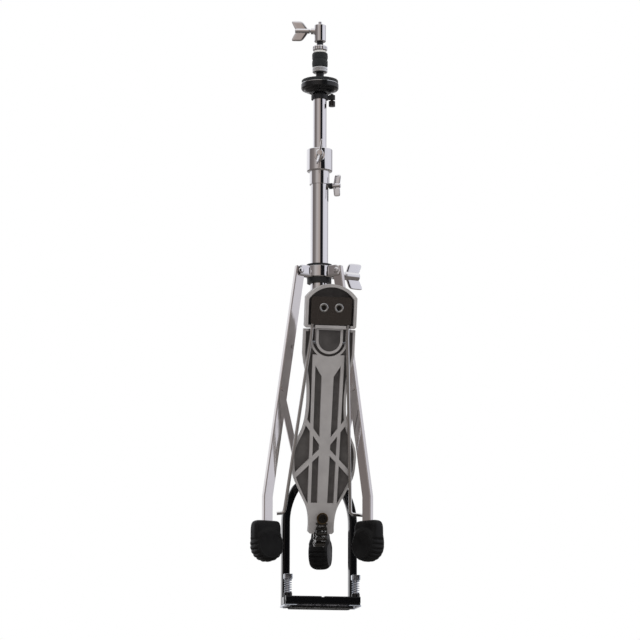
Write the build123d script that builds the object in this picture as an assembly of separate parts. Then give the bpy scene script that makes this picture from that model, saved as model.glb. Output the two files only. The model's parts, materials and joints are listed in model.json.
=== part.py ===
from build123d import *
from math import asin, atan2, cos, degrees, hypot, pi, radians, sin
import os

# Hi-hat stand, folded for carrying, in millimetres.
# +Z is up, the drummer's side is -Y, and the origin is on the tube's axis at floor level.

# ---- tubes and pull rod
BASE_TUBE_R = 14.3            # 1 1/8 inch tube
BASE_TUBE_WALL = 1.5
BASE_TUBE_Z = (191.0, 703.0)
UPPER_TUBE_R = 11.1           # 7/8 inch tube
UPPER_TUBE_WALL = 1.2
UPPER_TUBE_Z = (640.0, 830.0)
ROD_R = 3.0
ROD_TOP_Z = 957.5
ROD_BOTTOM_Z = 166.0
RUN = 0.05                    # radial clearance of a running fit
GAP = 0.3                     # clearance between pieces that only pass each other

# ---- tripod: radius from the tube's axis and height of each pivot
LEG_ANGLES = {"left": 198.0, "right": 318.0, "rear": 78.0}
BRACE_SIDE = {"left": 1, "right": -1, "rear": 1}
HUB_PIVOT = (36.0, 539.0)
LEG_BEND = (91.0, 173.0)
FOOT_CENTRE = (91.0, 96.5)
BRACE_TOP_Z = 346.0
BRACE_FOOT = (33.0, 222.0)
LEG_DEPTH, LEG_WIDTH, LEG_WALL = 15.0, 9.0, 1.6
BRACE_WIDTH, BRACE_THICK = 11.0, 2.5
LUG_THICK = 5.2
RIVET_R = 2.5
FOOT_R, FOOT_THICK = 25.5, 31.0
FOOT_TWIST = {"left": 0.0, "right": -12.0, "rear": -10.0}      # how far each foot is turned on its leg
SOCKET_HALF = 12.5
FOOT_TOP_Z = 135.5
HUB_R, HUB_Z = 21.5, (530.0, 549.0)
HUB_BUSH_R = 17.6
HUB_WING_ANGLE, HUB_SCREW_R = 18.0, 4.0
LOWER_HUB_R, LOWER_HUB_Z = 19.5, (212.0, 233.0)
RIVET_HEAD = 1.6

# ---- height clamp and spring tension screw
CLAMP_R, CLAMP_Z = 21.0, (705.5, 742.0)
SLEEVE_R, SLEEVE_Z = 16.2, (684.0, 712.0)
CLAMP_SCREW_ANGLE, CLAMP_SCREW_Z = 260.0, 727.0
TENSION_ANGLE, TENSION_Z = -25.0, 681.0
TENSION_SLOT_Z = (655.0, 686.0)
TENSION_SCREW_R = 3.0
CARRIAGE_R, CARRIAGE_Z = 9.5, (673.0, 689.0)
CLAMP_SCREW_R = 3.5
SET_SCREW_Z, SET_SCREW_R = 200.0, 2.6

# ---- bottom cymbal seat and clutch
SEAT_R = 30.5
SEAT_BORE_R = 7.6
HOLDER_Z = (826.0, 832.5, 847.0)   # foot, shoulder and top of the seat's holder
CUP_TOP_Z, FELT_TOP_Z = 851.0, 858.0
TILT_SCREW_X, TILT_SCREW_R = 20.0, 2.5
TILT_PIVOT_Z, TILT_PIN_R = 841.0, 1.6
CLUTCH_BORE = ROD_R + RUN
CLUTCH_BODY_R, CLUTCH_BODY_Z = 9.7, (923.0, 951.0)
CLUTCH_WING_Z = 941.0
CLUTCH_WING_ANGLE, CLUTCH_SCREW_R = 172.0, 3.0
CLUTCH_SLEEVE_R = 5.2
CLUTCH_STUB_R, CLUTCH_STUB_Z = 6.4, (862.0, 870.0)
CLUTCH_FELT_R, CLUTCH_FELT_THICK, CLUTCH_FELT_Z = 12.9, 11.6, (880.3, 892.3)
CLUTCH_WASHER_Z = (904.0, 907.0)
LOCK_NUT_R, LOCK_NUT_Z = 12.2, (907.3, 915.5)
BOTTOM_NUT_R, BOTTOM_NUT_Z = 12.4, (870.3, 880.0)

# ---- pedal, in its own leaning frame: u runs up the footboard, w towards the drummer
FOLD_Y, FOLD_Z = -10.0, 101.0      # chain pin that the folded pedal swings about
LEAN = 13.3
HINGE_U, HINGE_W = 319.1, 4.7      # heel hinge, from the chain pin
BOARD_TOP_W, BOARD_RIB_W = -1.0, 8.0
BOARD_SKIN = 2.6
HEEL_TOP_W, HEEL_RIM_W = 1.0, 15.8
CHAIN_PITCH = 8.0
CHAIN_PIN_R, CHAIN_ROLLER_R = 1.3, 2.6
CHAIN_INNER_X, CHAIN_OUTER_X, CHAIN_PLATE = 5.6, 7.2, 1.2
CHAIN_W = 12.0                     # centre of the chain strand under the toe
HINGE_PIN_R = 2.5
TOE_BOLT_U, TOE_BOLT_R = 43.6, 3.0
ROD_W = 10.9                       # centre plane of the radius rods
HOOK_U = 49.5                      # height of their hooks up the board
RADIUS_ROD_R = 2.7
ROD_CHANNEL_X, ROD_CHANNEL_U, ROD_CHANNEL = 28.0, 333.0, 7.2
CLAMP_PLATE_SIZE, CLAMP_PLATE_U, CLAMP_PLATE_THICK = (64.0, 43.6), 369.4, 1.8
CLAMP_SCREW_X, PLATE_SCREW_R = 12.0, 2.5

# ---- pedal frame and base
FRAME_LEG_X = (47.5, 59.5)
FRAME_Y = (-15.0, 3.0)
FRAME_ARCH_Z = 135.0
BASE_Y = (-46.0, 5.0)
SPUR_X, SPUR_Y, SPUR_R = 53.6, -33.0, 3.0
SPUR_SPRING_Z = (23.1, 44.4)
PLATE_Z = (2.5, 5.0)
BASE_SCREW_X, BASE_SCREW_Y = 53.5, -6.0
EYE_Y, EYE_Z, EYE_R = -40.6, 9.2, 2.9      # eyes that take the radius rods' hooks
HOOK_REST_Y, HOOK_REST_Z = -46.8, 5.5      # where the hooks lie before they are sprung in

BASE = (Align.CENTER, Align.CENTER, Align.MIN)


def save(name, *solids):
    """Write one sub-part, made of one or more separate solids."""
    shape = solids[0] if len(solids) == 1 else Compound(children=list(solids))
    shape.label = name
    export_step(shape, f"parts/{name}.step")


def post(radius, low, high, at=(0.0, 0.0)):
    """An upright cylinder between two heights."""
    return Pos(at[0], at[1], low) * Cylinder(radius, high - low, align=BASE)


def ring(outer, inner, low, high, at=(0.0, 0.0)):
    """An upright tube between two heights."""
    return post(outer, low, high, at) - post(inner, low - 1, high + 1, at)


def block(x, y, z):
    """A box given by its low and high limits on each axis."""
    size = [high - low for low, high in (x, y, z)]
    centre = [(low + high) / 2 for low, high in (x, y, z)]
    return Pos(*centre) * Box(*size)


def bar(start, end, radius):
    """A round bar between two points."""
    along = Vector(*end) - Vector(*start)
    return Plane(origin=start, z_dir=along) * Cylinder(radius, along.length, align=BASE)


def polar(radius, angle, z):
    """A point at a radius and angle around the tube."""
    return (radius * cos(radians(angle)), radius * sin(radians(angle)), z)


def radial_plane(angle):
    """Upright plane through the tube's axis: local x is the radius and local y is the height."""
    c, s = cos(radians(angle)), sin(radians(angle))
    return Plane(origin=(0, 0, 0), x_dir=(c, s, 0), z_dir=(s, -c, 0))


def outward(angle, z):
    """Plane on the tube's axis whose normal points outwards at an angle."""
    return Plane(origin=(0, 0, z), x_dir=(0, 0, 1), z_dir=polar(1, angle, 0))


def slab(plane, points, low, high):
    """A closed outline in a plane, given thickness between two offsets."""
    face = make_face(Polyline(*points, close=True))
    return plane * (Pos(0, 0, low) * extrude(face, high - low))


def strip(plane, start, end, half, low, high):
    """A flat link with round ends between two points of a plane."""
    length = hypot(end[0] - start[0], end[1] - start[1])
    turn = degrees(atan2(end[1] - start[1], end[0] - start[0]))
    middle = ((start[0] + end[0]) / 2, (start[1] + end[1]) / 2)
    face = Pos(*middle) * Rot(0, 0, turn) * SlotCenterToCenter(length, 2 * half)
    return plane * (Pos(0, 0, low) * extrude(face, high - low))


def cross_bar_in(plane, at, radius, low, high):
    """A pin through a plane, square to it."""
    return plane * (Pos(at[0], at[1], low) * Cylinder(radius, high - low, align=BASE))


def wing_bolt(angle, z, thread_r, tip, hub, hub_r, wing_r, span, turn, flare):
    """A wing bolt pointing at the tube: thread, hub and two flared wings.

    tip, hub and wing_r are radii from the tube's axis, span is the size across the wings and
    turn is how far the wings lie from the upright.
    """
    face = outward(angle, z)
    bolt = face * (Pos(0, 0, tip) * Cylinder(thread_r, hub[1] - tip - 1, align=BASE))
    bolt += face * (Pos(0, 0, hub[0]) * Cylinder(hub_r, hub[1] - hub[0], align=BASE))
    for side in (1, -1):
        outline = [
            (side * hub_r * 0.4, hub[0] + 1),
            (side * hub_r, hub[0] + 1),
            (side * span / 2, wing_r[0]),
            (side * (span / 2 + flare), wing_r[1] - 3),
            (side * span / 2, wing_r[1]),
            (side * hub_r, hub[1] - 1),
            (side * hub_r * 0.4, hub[1] - 1),
        ]
        wing = extrude(make_face(Polyline(*outline, close=True)), 2.2, both=True)
        bolt += face * (Rot(0, 0, turn) * (Rot(90, 0, 0) * wing))
    return bolt


def coil(radius, wire, low, high, turns, at):
    """A compression spring with round wire and open ends."""
    pitch = (high - low - 2 * wire) / turns
    path = Helix(pitch, high - low - 2 * wire, radius)
    profile = Plane(origin=path @ 0, z_dir=path % 0) * Circle(wire)
    return Pos(at[0], at[1], low + wire) * sweep(profile, path=path)


# =====================================================================
# Stand frame: base tube, clamp, arched pedal frame, base plate and pad
# =====================================================================
def base_tube():
    """Lower tube with the upright slot that the tension screw slides in."""
    tube = ring(BASE_TUBE_R, BASE_TUBE_R - BASE_TUBE_WALL, *BASE_TUBE_Z)
    low, high = TENSION_SLOT_Z
    slot = Rot(0, 0, TENSION_ANGLE) * block((4, 20), (-3.3, 3.3), (low + 3.3, high + 1))
    slot += Rot(0, 0, TENSION_ANGLE) * bar((4, 0, low + 3.3), (20, 0, low + 3.3), 3.3)
    hole = bar((0, BASE_TUBE_R + 4, SET_SCREW_Z), (0, 8, SET_SCREW_Z), SET_SCREW_R)
    return tube - slot - hole


def tube_bush():
    """Nylon bush that guides the upper tube in the mouth of the lower one."""
    bore = UPPER_TUBE_R + RUN
    inside = BASE_TUBE_R - BASE_TUBE_WALL
    return ring(inside, bore, 690, 703) + ring(BASE_TUBE_R, bore, 703, 705)


def height_clamp():
    """Clamp casting: collar round the upper tube, sleeve pressed on the lower tube."""
    collar = post(CLAMP_R, *CLAMP_Z)
    collar = fillet(collar.edges().group_by(Axis.Z)[0] + collar.edges().group_by(Axis.Z)[-1], 1.6)
    body = collar + post(SLEEVE_R, SLEEVE_Z[0], SLEEVE_Z[1])
    boss = outward(CLAMP_SCREW_ANGLE, CLAMP_SCREW_Z)
    body += boss * (Pos(0, 0, 15) * Cylinder(8.2, 13, align=BASE))
    body -= post(BASE_TUBE_R, SLEEVE_Z[0] - 1, 705)
    body -= post(UPPER_TUBE_R + GAP, 700, CLAMP_Z[1] + 1)
    body -= boss * (Pos(0, 0, 5) * Cylinder(CLAMP_SCREW_R + RUN, 40, align=BASE))
    return body


def rod_guide():
    """Nylon plug at the tube's foot that the pull rod runs through."""
    return ring(BASE_TUBE_R - BASE_TUBE_WALL, ROD_R + RUN, 191, 207)


def arch_outline(outer_x, bend_r, crown_r, foot_z):
    """Half of the arch's edge: straight leg, long curve, short curve and flat crown."""
    centre_x = outer_x - bend_r
    knee = 30.0
    knee_x = centre_x + bend_r * cos(radians(knee))
    knee_z = FRAME_ARCH_Z + bend_r * sin(radians(knee))
    crown_x = knee_x - crown_r * cos(radians(knee))
    crown_z = knee_z - crown_r * sin(radians(knee))
    leg = Line((outer_x, foot_z), (outer_x, FRAME_ARCH_Z))
    long_curve = CenterArc((centre_x, FRAME_ARCH_Z), bend_r, 0, knee)
    short_curve = CenterArc((crown_x, crown_z), crown_r, knee, 90 - knee)
    flat = Line((crown_x, crown_z + crown_r), (0, crown_z + crown_r))
    return [leg, long_curve, short_curve, flat], crown_z + crown_r


def arch_face(outer_x, bend_r, crown_r, foot_z):
    """Half of the region under an arch edge, closed along the centre line."""
    edges, top = arch_outline(outer_x, bend_r, crown_r, foot_z)
    edges += [Line((0, top), (0, foot_z)), Line((0, foot_z), (outer_x, foot_z))]
    return make_face(edges)


def pedal_frame():
    """Cast frame: an inverted U with a socket for the tube and a lug for each spur."""
    inner_x, outer_x = FRAME_LEG_X
    bend = outer_x + 50.5
    half = arch_face(outer_x, bend, 30, 5) - arch_face(inner_x, bend - 12, 18, 4)
    upright = Plane(origin=(0, FRAME_Y[0], 0), x_dir=(1, 0, 0), z_dir=(0, -1, 0))
    depth = FRAME_Y[1] - FRAME_Y[0]
    right = upright * extrude(half, -depth)
    frame = right + mirror(right, about=Plane.YZ)
    long_edges = frame.edges().filter_by(Axis.Y, reverse=True)
    front = [e for e in long_edges if abs(e.center().Y - FRAME_Y[0]) < 0.01 and e.center().Z > 8]
    back = [e for e in long_edges if abs(e.center().Y - FRAME_Y[1]) < 0.01 and e.center().Z > 8]
    frame = fillet(front + back, 2.4)
    frame += post(19, 187, 211)
    for side in (-1, 1):
        x = side * SPUR_X
        frame += post(6.6, 6, 23, (x, SPUR_Y))
        frame += block((x - 5.9, x + 5.9), (SPUR_Y, FRAME_Y[0] + 1), (6, 17))
        frame -= post(SPUR_R + RUN, 0, 30, (x, SPUR_Y))
    frame -= post(BASE_TUBE_R, 191, 220)
    frame -= post(7.5, 180, 192)
    frame -= bar((0, 30, SET_SCREW_Z), (0, 8, SET_SCREW_Z), SET_SCREW_R)
    return frame


def hook_groove(side):
    """Groove along the base's front edge that one radius rod's hook lies in."""
    ends = [(side * x, HOOK_REST_Y, HOOK_REST_Z) for x in (41, 62)]
    return bar(*ends, RADIUS_ROD_R + GAP)


def cross_bar():
    """Front bar of the base, with an eye at each end for the radius rods."""
    body = block((-59, 59), (BASE_Y[0], -36.5), (5, 18))
    body = fillet(body.edges().filter_by(Axis.X), 2.2)
    for side in (-1, 1):
        body -= post(6.9, 0, 30, (side * SPUR_X, SPUR_Y))
        body -= bar((side * 38, EYE_Y, EYE_Z), (side * 62, EYE_Y, EYE_Z), EYE_R)
        body -= hook_groove(side)
    body -= block((-2.5, 2.5), (BASE_Y[0] - 1, -35), (16.4, 20))
    return body


def base_plate():
    """Steel sole plate under the frame."""
    outline = [
        (-60.5, BASE_Y[0] + 3), (-56, BASE_Y[0]), (56, BASE_Y[0]), (60.5, BASE_Y[0] + 3),
        (60.5, BASE_Y[1] - 3), (57, BASE_Y[1]), (-57, BASE_Y[1]), (-60.5, BASE_Y[1] - 3),
    ]
    plate = slab(Plane.XY, outline, *PLATE_Z)
    for side in (-1, 1):
        plate -= post(3.6, 0, 9, (side * SPUR_X, SPUR_Y))
        plate -= post(2.5, 0, 9, (side * BASE_SCREW_X, BASE_SCREW_Y))
        plate -= hook_groove(side)
    return plate


def floor_pad():
    """Rubber pad glued under the plate, crowned at its front edge."""
    pad = block((-48.8, 48.8), (BASE_Y[0] + 0.5, BASE_Y[1] - 1), (0, PLATE_Z[0]))
    return fillet(pad.edges().filter_by(Axis.Z), 6)


def frame_screws():
    """Two screws up through the plate into the frame's legs, and the tube's set screw."""
    screws = []
    for side in (-1, 1):
        at = (side * BASE_SCREW_X, BASE_SCREW_Y)
        screws.append(post(2.5, *PLATE_Z, at) + post(4.4, 1.0, PLATE_Z[0], at))
    z = SET_SCREW_Z
    head = bar((0, 24, z), (0, 19, z), 4.5) - bar((0, 25, z), (0, 21.5, z), 2)
    screws.append(head + bar((0, 19.5, z), (0, BASE_TUBE_R - BASE_TUBE_WALL, z), SET_SCREW_R))
    return screws


def spurs():
    """Anchor spurs: each screws down through its lug against a spring."""
    for name, side in (("left", -1), ("right", 1)):
        at = (side * SPUR_X, SPUR_Y)
        bolt = post(SPUR_R, 4, 46, at)
        bolt += Pos(at[0], at[1], 1) * Cone(0.6, SPUR_R, 3, align=BASE)
        head = Pos(at[0], at[1], 48.5) * Box(13.2, 13.2, 7.8)
        bolt += chamfer(head.edges().filter_by(Axis.Z), 1.6)
        save(f"spur_bolt_{name}", bolt)
        save(f"spur_spring_{name}", coil(5.2, 0.9, *SPUR_SPRING_Z, 6, at))


# =====================================================================
# Height tube, cymbal seat and spring tension
# =====================================================================
def upper_tube():
    """Upper tube, slotted from its lower end so that it passes the tension screw."""
    tube = ring(UPPER_TUBE_R, UPPER_TUBE_R - UPPER_TUBE_WALL, *UPPER_TUBE_Z)
    tube -= Rot(0, 0, TENSION_ANGLE) * block((4, 20), (-3.5, 3.5), (630, 731))
    tube -= Rot(0, 0, -50) * block((4, 20), (-1.1, 1.1), (809, 817))
    return tube


def seat_holder():
    """Nylon seat carrier pressed on the upper tube, with an arm for the tilt screw."""
    foot, shoulder, top = HOLDER_Z
    body = post(14, foot, shoulder) + post(8.5, shoulder, top)
    body += block((0, TILT_SCREW_X), (-4.5, 4.5), (foot + 1, shoulder))
    body += post(5.2, foot + 1, shoulder + 1.5, (TILT_SCREW_X, 0))
    body -= post(UPPER_TUBE_R, foot - 2, UPPER_TUBE_Z[1])
    body -= post(ROD_R + 1.2, foot - 2, top + 3)
    body -= post(TILT_SCREW_R + RUN, foot - 2, shoulder + 9, (TILT_SCREW_X, 0))
    pins = []
    for side in (-1, 1):
        pin = bar((0, side * 5.5, TILT_PIVOT_Z), (0, side * 14, TILT_PIVOT_Z), TILT_PIN_R)
        body -= pin
        pins.append(pin)
    return [body] + pins


def seat_cup():
    """Black cup under the cymbal: stepped cone that rocks on two short pins."""
    profile = Polyline(
        (11.5, 836.5), (17, 836.5), (18.5, 838), (24, 839.5), (25.5, 841.5), (29, 842),
        (SEAT_R, 844), (SEAT_R, CUP_TOP_Z - 0.5), (SEAT_R - 0.9, CUP_TOP_Z),
        (SEAT_BORE_R, CUP_TOP_Z), (SEAT_BORE_R, 848.5), (11.5, 848.5),
        close=True,
    )
    cup = revolve(Plane.XZ * make_face(profile), Axis.Z)
    for side in (-1, 1):
        cup -= bar((0, side * 11, TILT_PIVOT_Z), (0, side * 14.3, TILT_PIVOT_Z), TILT_PIN_R + RUN)
    return cup


def seat():
    """Cup, steel washer and felt that turn together about the tilt pins."""
    save("seat_cup", seat_cup())
    save("seat_washer", ring(SEAT_R - 0.3, SEAT_BORE_R, CUP_TOP_Z, CUP_TOP_Z + 1))
    felt = fillet(post(SEAT_R - 0.8, CUP_TOP_Z + 1, FELT_TOP_Z).edges(), 1.4)
    save("seat_felt", felt - post(SEAT_BORE_R, CUP_TOP_Z - 1, FELT_TOP_Z + 2))


def tilt_screw():
    """Knurled screw that pushes one side of the cup up."""
    at = (TILT_SCREW_X, 0)
    screw = post(TILT_SCREW_R, 824, 836, at)
    head = post(5.3, 815.5, 824, at)
    for step in range(18):
        angle = step * 20
        groove = (at[0] + 5.5 * cos(radians(angle)), 5.5 * sin(radians(angle)))
        head -= post(0.45, 814, 825, groove)
    return screw + head


def tension_carriage():
    """Slim slider in the tube that holds up the return spring."""
    body = ring(CARRIAGE_R, ROD_R + 0.25, *CARRIAGE_Z)
    thread = Plane(origin=(0, 0, TENSION_Z), x_dir=(0, 0, 1), z_dir=polar(1, TENSION_ANGLE, 0))
    return body - thread * (Pos(0, 0, 1) * Cylinder(TENSION_SCREW_R + RUN, 20, align=BASE))


def tension_screw():
    """Wing screw through both tubes' slots, with its loose washer."""
    screw = wing_bolt(TENSION_ANGLE, TENSION_Z, TENSION_SCREW_R, 4.0, (21.3, 35.0), 4.2,
                      (25.0, 35.5), 37.0, 8.0, 0.5)
    save("tension_wing_screw", screw)
    face = outward(TENSION_ANGLE, TENSION_Z)
    washer = face * (Pos(0, 0, 16.5) * Cylinder(4.8, 4.8, align=BASE))
    hole = face * (Pos(0, 0, 10) * Cylinder(TENSION_SCREW_R, 20, align=BASE))
    save("tension_washer", washer - hole)


# =====================================================================
# Pull rod, return spring and drive chain
# =====================================================================
def board_point(x, u, w):
    """A point of the leaning pedal frame in the stand's frame."""
    c, s = cos(radians(LEAN)), sin(radians(LEAN))
    return (x, FOLD_Y - u * s - w * c, FOLD_Z + u * c - w * s)


def board_plane(w):
    """Plane parallel to the footboard: local x is across and local y runs up the board."""
    c, s = cos(radians(LEAN)), sin(radians(LEAN))
    return Plane(origin=board_point(0, 0, w), x_dir=(1, 0, 0), z_dir=(0, -c, -s))


def rod_plane(x):
    """Upright plane along the board at a distance across it: local x is u and local y is w."""
    up_board = Vector(*board_point(0, 1, 0)) - Vector(*board_point(0, 0, 0))
    return Plane(origin=board_point(x, 0, 0), x_dir=up_board, z_dir=(1, 0, 0))


def walk(start, centre, turn_sign, leave, heading, count):
    """Chain pins a pitch apart: round an arc from its lowest point, then straight on.

    leave is the angle of the arc, in degrees, before the strand runs straight along heading.
    """
    radius = start[1] - centre[1]
    step = 2 * asin(CHAIN_PITCH / (2 * abs(radius)))
    pins = [start]
    swept = 0.0
    for _ in range(count):
        if swept + step <= radians(leave):
            swept += step
            y = centre[0] - turn_sign * abs(radius) * sin(swept)
            z = centre[1] - abs(radius) * cos(swept)
        else:
            y = pins[-1][0] + CHAIN_PITCH * heading[0]
            z = pins[-1][1] + CHAIN_PITCH * heading[1]
        pins.append((y, z))
    return pins


def side_plane():
    """Upright plane through the axis, seen from the side: local x is Y and local y is Z."""
    return Plane(origin=(0, 0, 0), x_dir=(0, 1, 0), z_dir=(1, 0, 0))


def chain(pins, first_is_outer, own_first_pin):
    """Double roller chain: link plates, rollers and pins, as one run of links."""
    solids = []
    plane = side_plane()
    for index in range(len(pins) - 1):
        outer = (index % 2 == 0) == first_is_outer
        reach = CHAIN_OUTER_X if outer else CHAIN_INNER_X
        for side in (-1, 1):
            low, high = sorted((side * reach, side * (reach + CHAIN_PLATE)))
            plate = strip(plane, pins[index], pins[index + 1], 3.1, low, high)
            for pin in (pins[index], pins[index + 1]):
                plate -= cross_bar_in(plane, pin, CHAIN_PIN_R + RUN, low - 1, high + 1)
            solids.append(plate)
    for index, pin in enumerate(pins):
        if index == 0 and not own_first_pin:
            continue
        solids.append(cross_bar_in(plane, pin, CHAIN_PIN_R, -9.3, 9.3))
        roller = cross_bar_in(plane, pin, CHAIN_ROLLER_R, -5.4, 5.4)
        solids.append(roller - cross_bar_in(plane, pin, CHAIN_PIN_R, -6, 6))
    return solids


def pull_rod():
    """Rod through the whole stand, with its collar, spring, clevis and upper chain."""
    save("pull_rod", post(ROD_R, ROD_BOTTOM_Z, ROD_TOP_Z - 1.2)
         + Pos(0, 0, ROD_TOP_Z - 1.2) * Cone(ROD_R, ROD_R - 1.0, 1.2, align=BASE))
    save("rod_collar", ring(8.6, ROD_R, 775, 783))
    save("return_spring", coil(6.9, 1.1, 689.1, 774.9, 11, (0, 0)))
    upper = walk((FOLD_Y, FOLD_Z), (FOLD_Y, FOLD_Z + 10), -1, 90, (0.0475, 0.9989), 8)
    top = upper[-1]
    fork = block((-9.6, 9.6), (-5.5 + top[0], 5.5 + top[0]), (top[1] + 4.2, top[1] + 17))
    for side in (-1, 1):
        ear_x = sorted((side * 7.0, side * 9.6))
        fork += block(ear_x, (-4.2 + top[0], 4.2 + top[0]), (top[1] - 4.2, top[1] + 5))
    fork -= post(ROD_R, ROD_BOTTOM_Z, 190)
    fork -= cross_bar_in(side_plane(), top, CHAIN_PIN_R, -12, 12)
    save("chain_clevis", fork)
    save("chain_upper", *chain(upper, True, True))


# =====================================================================
# Clutch
# =====================================================================
def clutch():
    """Top cymbal clutch: body, threaded sleeve, felts, nuts and wing bolt."""
    body = post(CLUTCH_BODY_R, *CLUTCH_BODY_Z)
    body = chamfer(body.edges().group_by(Axis.Z)[-1] + body.edges().group_by(Axis.Z)[0], 0.8)
    face = outward(CLUTCH_WING_ANGLE, CLUTCH_WING_Z)
    body += face * (Pos(0, 0, 6) * Cylinder(5.2, 9, align=BASE))
    body -= post(CLUTCH_BORE, CLUTCH_BODY_Z[0] - 1, CLUTCH_BODY_Z[1] + 1)
    body -= face * (Pos(0, 0, 2) * Cylinder(CLUTCH_SCREW_R + RUN, 20, align=BASE))
    save("clutch_body", body)
    sleeve = post(CLUTCH_SLEEVE_R, CLUTCH_STUB_Z[1], CLUTCH_BODY_Z[0])
    sleeve += post(CLUTCH_STUB_R, *CLUTCH_STUB_Z)
    save("clutch_sleeve", sleeve - post(CLUTCH_BORE, CLUTCH_STUB_Z[0] - 1, CLUTCH_BODY_Z[1]))
    save("clutch_washer", ring(10.6, CLUTCH_SLEEVE_R, *CLUTCH_WASHER_Z))
    felts = []
    for low in CLUTCH_FELT_Z:
        felt = fillet(post(CLUTCH_FELT_R, low, low + CLUTCH_FELT_THICK).edges(), 1.6)
        felts.append(felt - post(CLUTCH_SLEEVE_R, low - 1, low + CLUTCH_FELT_THICK + 1))
    save("clutch_felts", *felts)
    save("clutch_lock_nut", knurled_nut(LOCK_NUT_R, *LOCK_NUT_Z))
    save("clutch_bottom_nut", knurled_nut(BOTTOM_NUT_R, *BOTTOM_NUT_Z))
    bolt = wing_bolt(CLUTCH_WING_ANGLE, CLUTCH_WING_Z, CLUTCH_SCREW_R, ROD_R + 0.4,
                     (16.5, 41.0), 4.2, (29.0, 47.5), 33.0, 0.0, 1.2)
    save("clutch_wing_bolt", bolt)


def knurled_nut(radius, low, high):
    """Round nut with a grooved rim that turns on the clutch's sleeve."""
    nut = post(radius, low, high)
    nut = chamfer(nut.edges(), 0.9)
    for step in range(16):
        angle = radians(step * 22.5)
        at = ((radius + 0.5) * cos(angle), (radius + 0.5) * sin(angle))
        nut -= post(1.1, low - 1, high + 1, at)
    return nut - post(CLUTCH_SLEEVE_R + RUN, low - 1, high + 1)


# =====================================================================
# Tripod: sliding hub, turning lower hub, legs, braces and feet
# =====================================================================
def leg_line(z):
    """Radius of a leg's centre line at a height on its straight part."""
    slope = (LEG_BEND[0] - HUB_PIVOT[0]) / (HUB_PIVOT[1] - LEG_BEND[1])
    return HUB_PIVOT[0] + (HUB_PIVOT[1] - z) * slope


def leg_outline(inner, outer):
    """Side view of a leg between two offsets from its centre line."""
    tilt = atan2(LEG_BEND[0] - HUB_PIVOT[0], HUB_PIVOT[1] - LEG_BEND[1])
    nr, nz = cos(tilt), sin(tilt)
    top = (HUB_PIVOT[0] - 7 * sin(tilt), HUB_PIVOT[1] + 7 * cos(tilt))
    foot_z = 106.0
    knee_out = (LEG_BEND[0] + outer, LEG_BEND[1] + outer * (nz / (1 + nr)))
    knee_in = (LEG_BEND[0] + inner, LEG_BEND[1] + inner * (nz / (1 + nr)))
    return [
        (top[0] + outer * nr, top[1] + outer * nz),
        knee_out,
        (LEG_BEND[0] + outer, foot_z),
        (LEG_BEND[0] + inner, foot_z),
        knee_in,
        (top[0] + inner * nr, top[1] + inner * nz),
    ]


def leg(name, angle):
    """Folded steel channel, open towards the tube, with the brace's half rivet in it."""
    plane = radial_plane(angle)
    half_depth, half_width = LEG_DEPTH / 2, LEG_WIDTH / 2
    body = slab(plane, leg_outline(-half_depth, half_depth), -half_width, half_width)
    upright = [e for e in body.edges() if e.length > 60]
    body = fillet([e for e in upright if plane.to_local_coords(e.center()).X
                   > leg_line_at(plane, e)], 1.5)
    inside = half_width - LEG_WALL
    body -= slab(plane, leg_outline(-half_depth - 5, half_depth - LEG_WALL), -inside, inside)
    body -= cross_bar_in(plane, HUB_PIVOT, RIVET_R + RUN, -20, 20)
    at = (leg_line(BRACE_TOP_Z), BRACE_TOP_Z)
    side = BRACE_SIDE[name]
    shank = cross_bar_in(plane, at, RIVET_R, *sorted((side * half_width, -side * half_width)))
    outer = half_width + RIVET_HEAD
    head = cross_bar_in(plane, at, 4.6, *sorted((-side * half_width, -side * outer)))
    return [body - cross_bar_in(plane, at, RIVET_R, -20, 20), shank + head]


def leg_line_at(plane, edge):
    """Centre-line radius beside an edge of a leg, in the leg's own plane."""
    return min(leg_line(plane.to_local_coords(edge.center()).Y), LEG_BEND[0])


def foot(angle, twist):
    """Rubber foot: a round tread under a socket block, with tread grooves across it."""
    leg_plane = radial_plane(angle)
    turned = radial_plane(angle + twist)
    start = Vector(*polar(FOOT_CENTRE[0], angle, 0)) - Vector(*polar(FOOT_CENTRE[0], angle + twist, 0))
    plane = Plane(origin=start, x_dir=turned.x_dir, z_dir=turned.z_dir)
    half = FOOT_THICK / 2
    r, z = FOOT_CENTRE
    tread = cross_bar_in(plane, FOOT_CENTRE, FOOT_R, -half, half)
    tread = fillet([e for e in tread.edges() if e.geom_type == GeomType.CIRCLE], 5.5)
    socket = slab(plane, [(r - 20.8, z), (r + FOOT_R, z), (r + FOOT_R, FOOT_TOP_Z - 6),
                          (r + FOOT_R - 6, FOOT_TOP_Z), (r - 12.8, FOOT_TOP_Z),
                          (r - 20.8, FOOT_TOP_Z - 10)], -SOCKET_HALF, SOCKET_HALF)
    body = tread + socket
    for step in range(-4, 5):
        turn = radians(270 + step * 18)
        at = (r + (FOOT_R + 1.0) * cos(turn), z + (FOOT_R + 1.0) * sin(turn))
        body -= cross_bar_in(plane, at, 2.4, -20, 20)
    half_depth, half_width = LEG_DEPTH / 2, LEG_WIDTH / 2
    return body - slab(leg_plane, [(r - half_depth, 106), (r + half_depth, 106),
                                   (r + half_depth, 150), (r - half_depth, 150)],
                       -half_width, half_width)


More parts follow.
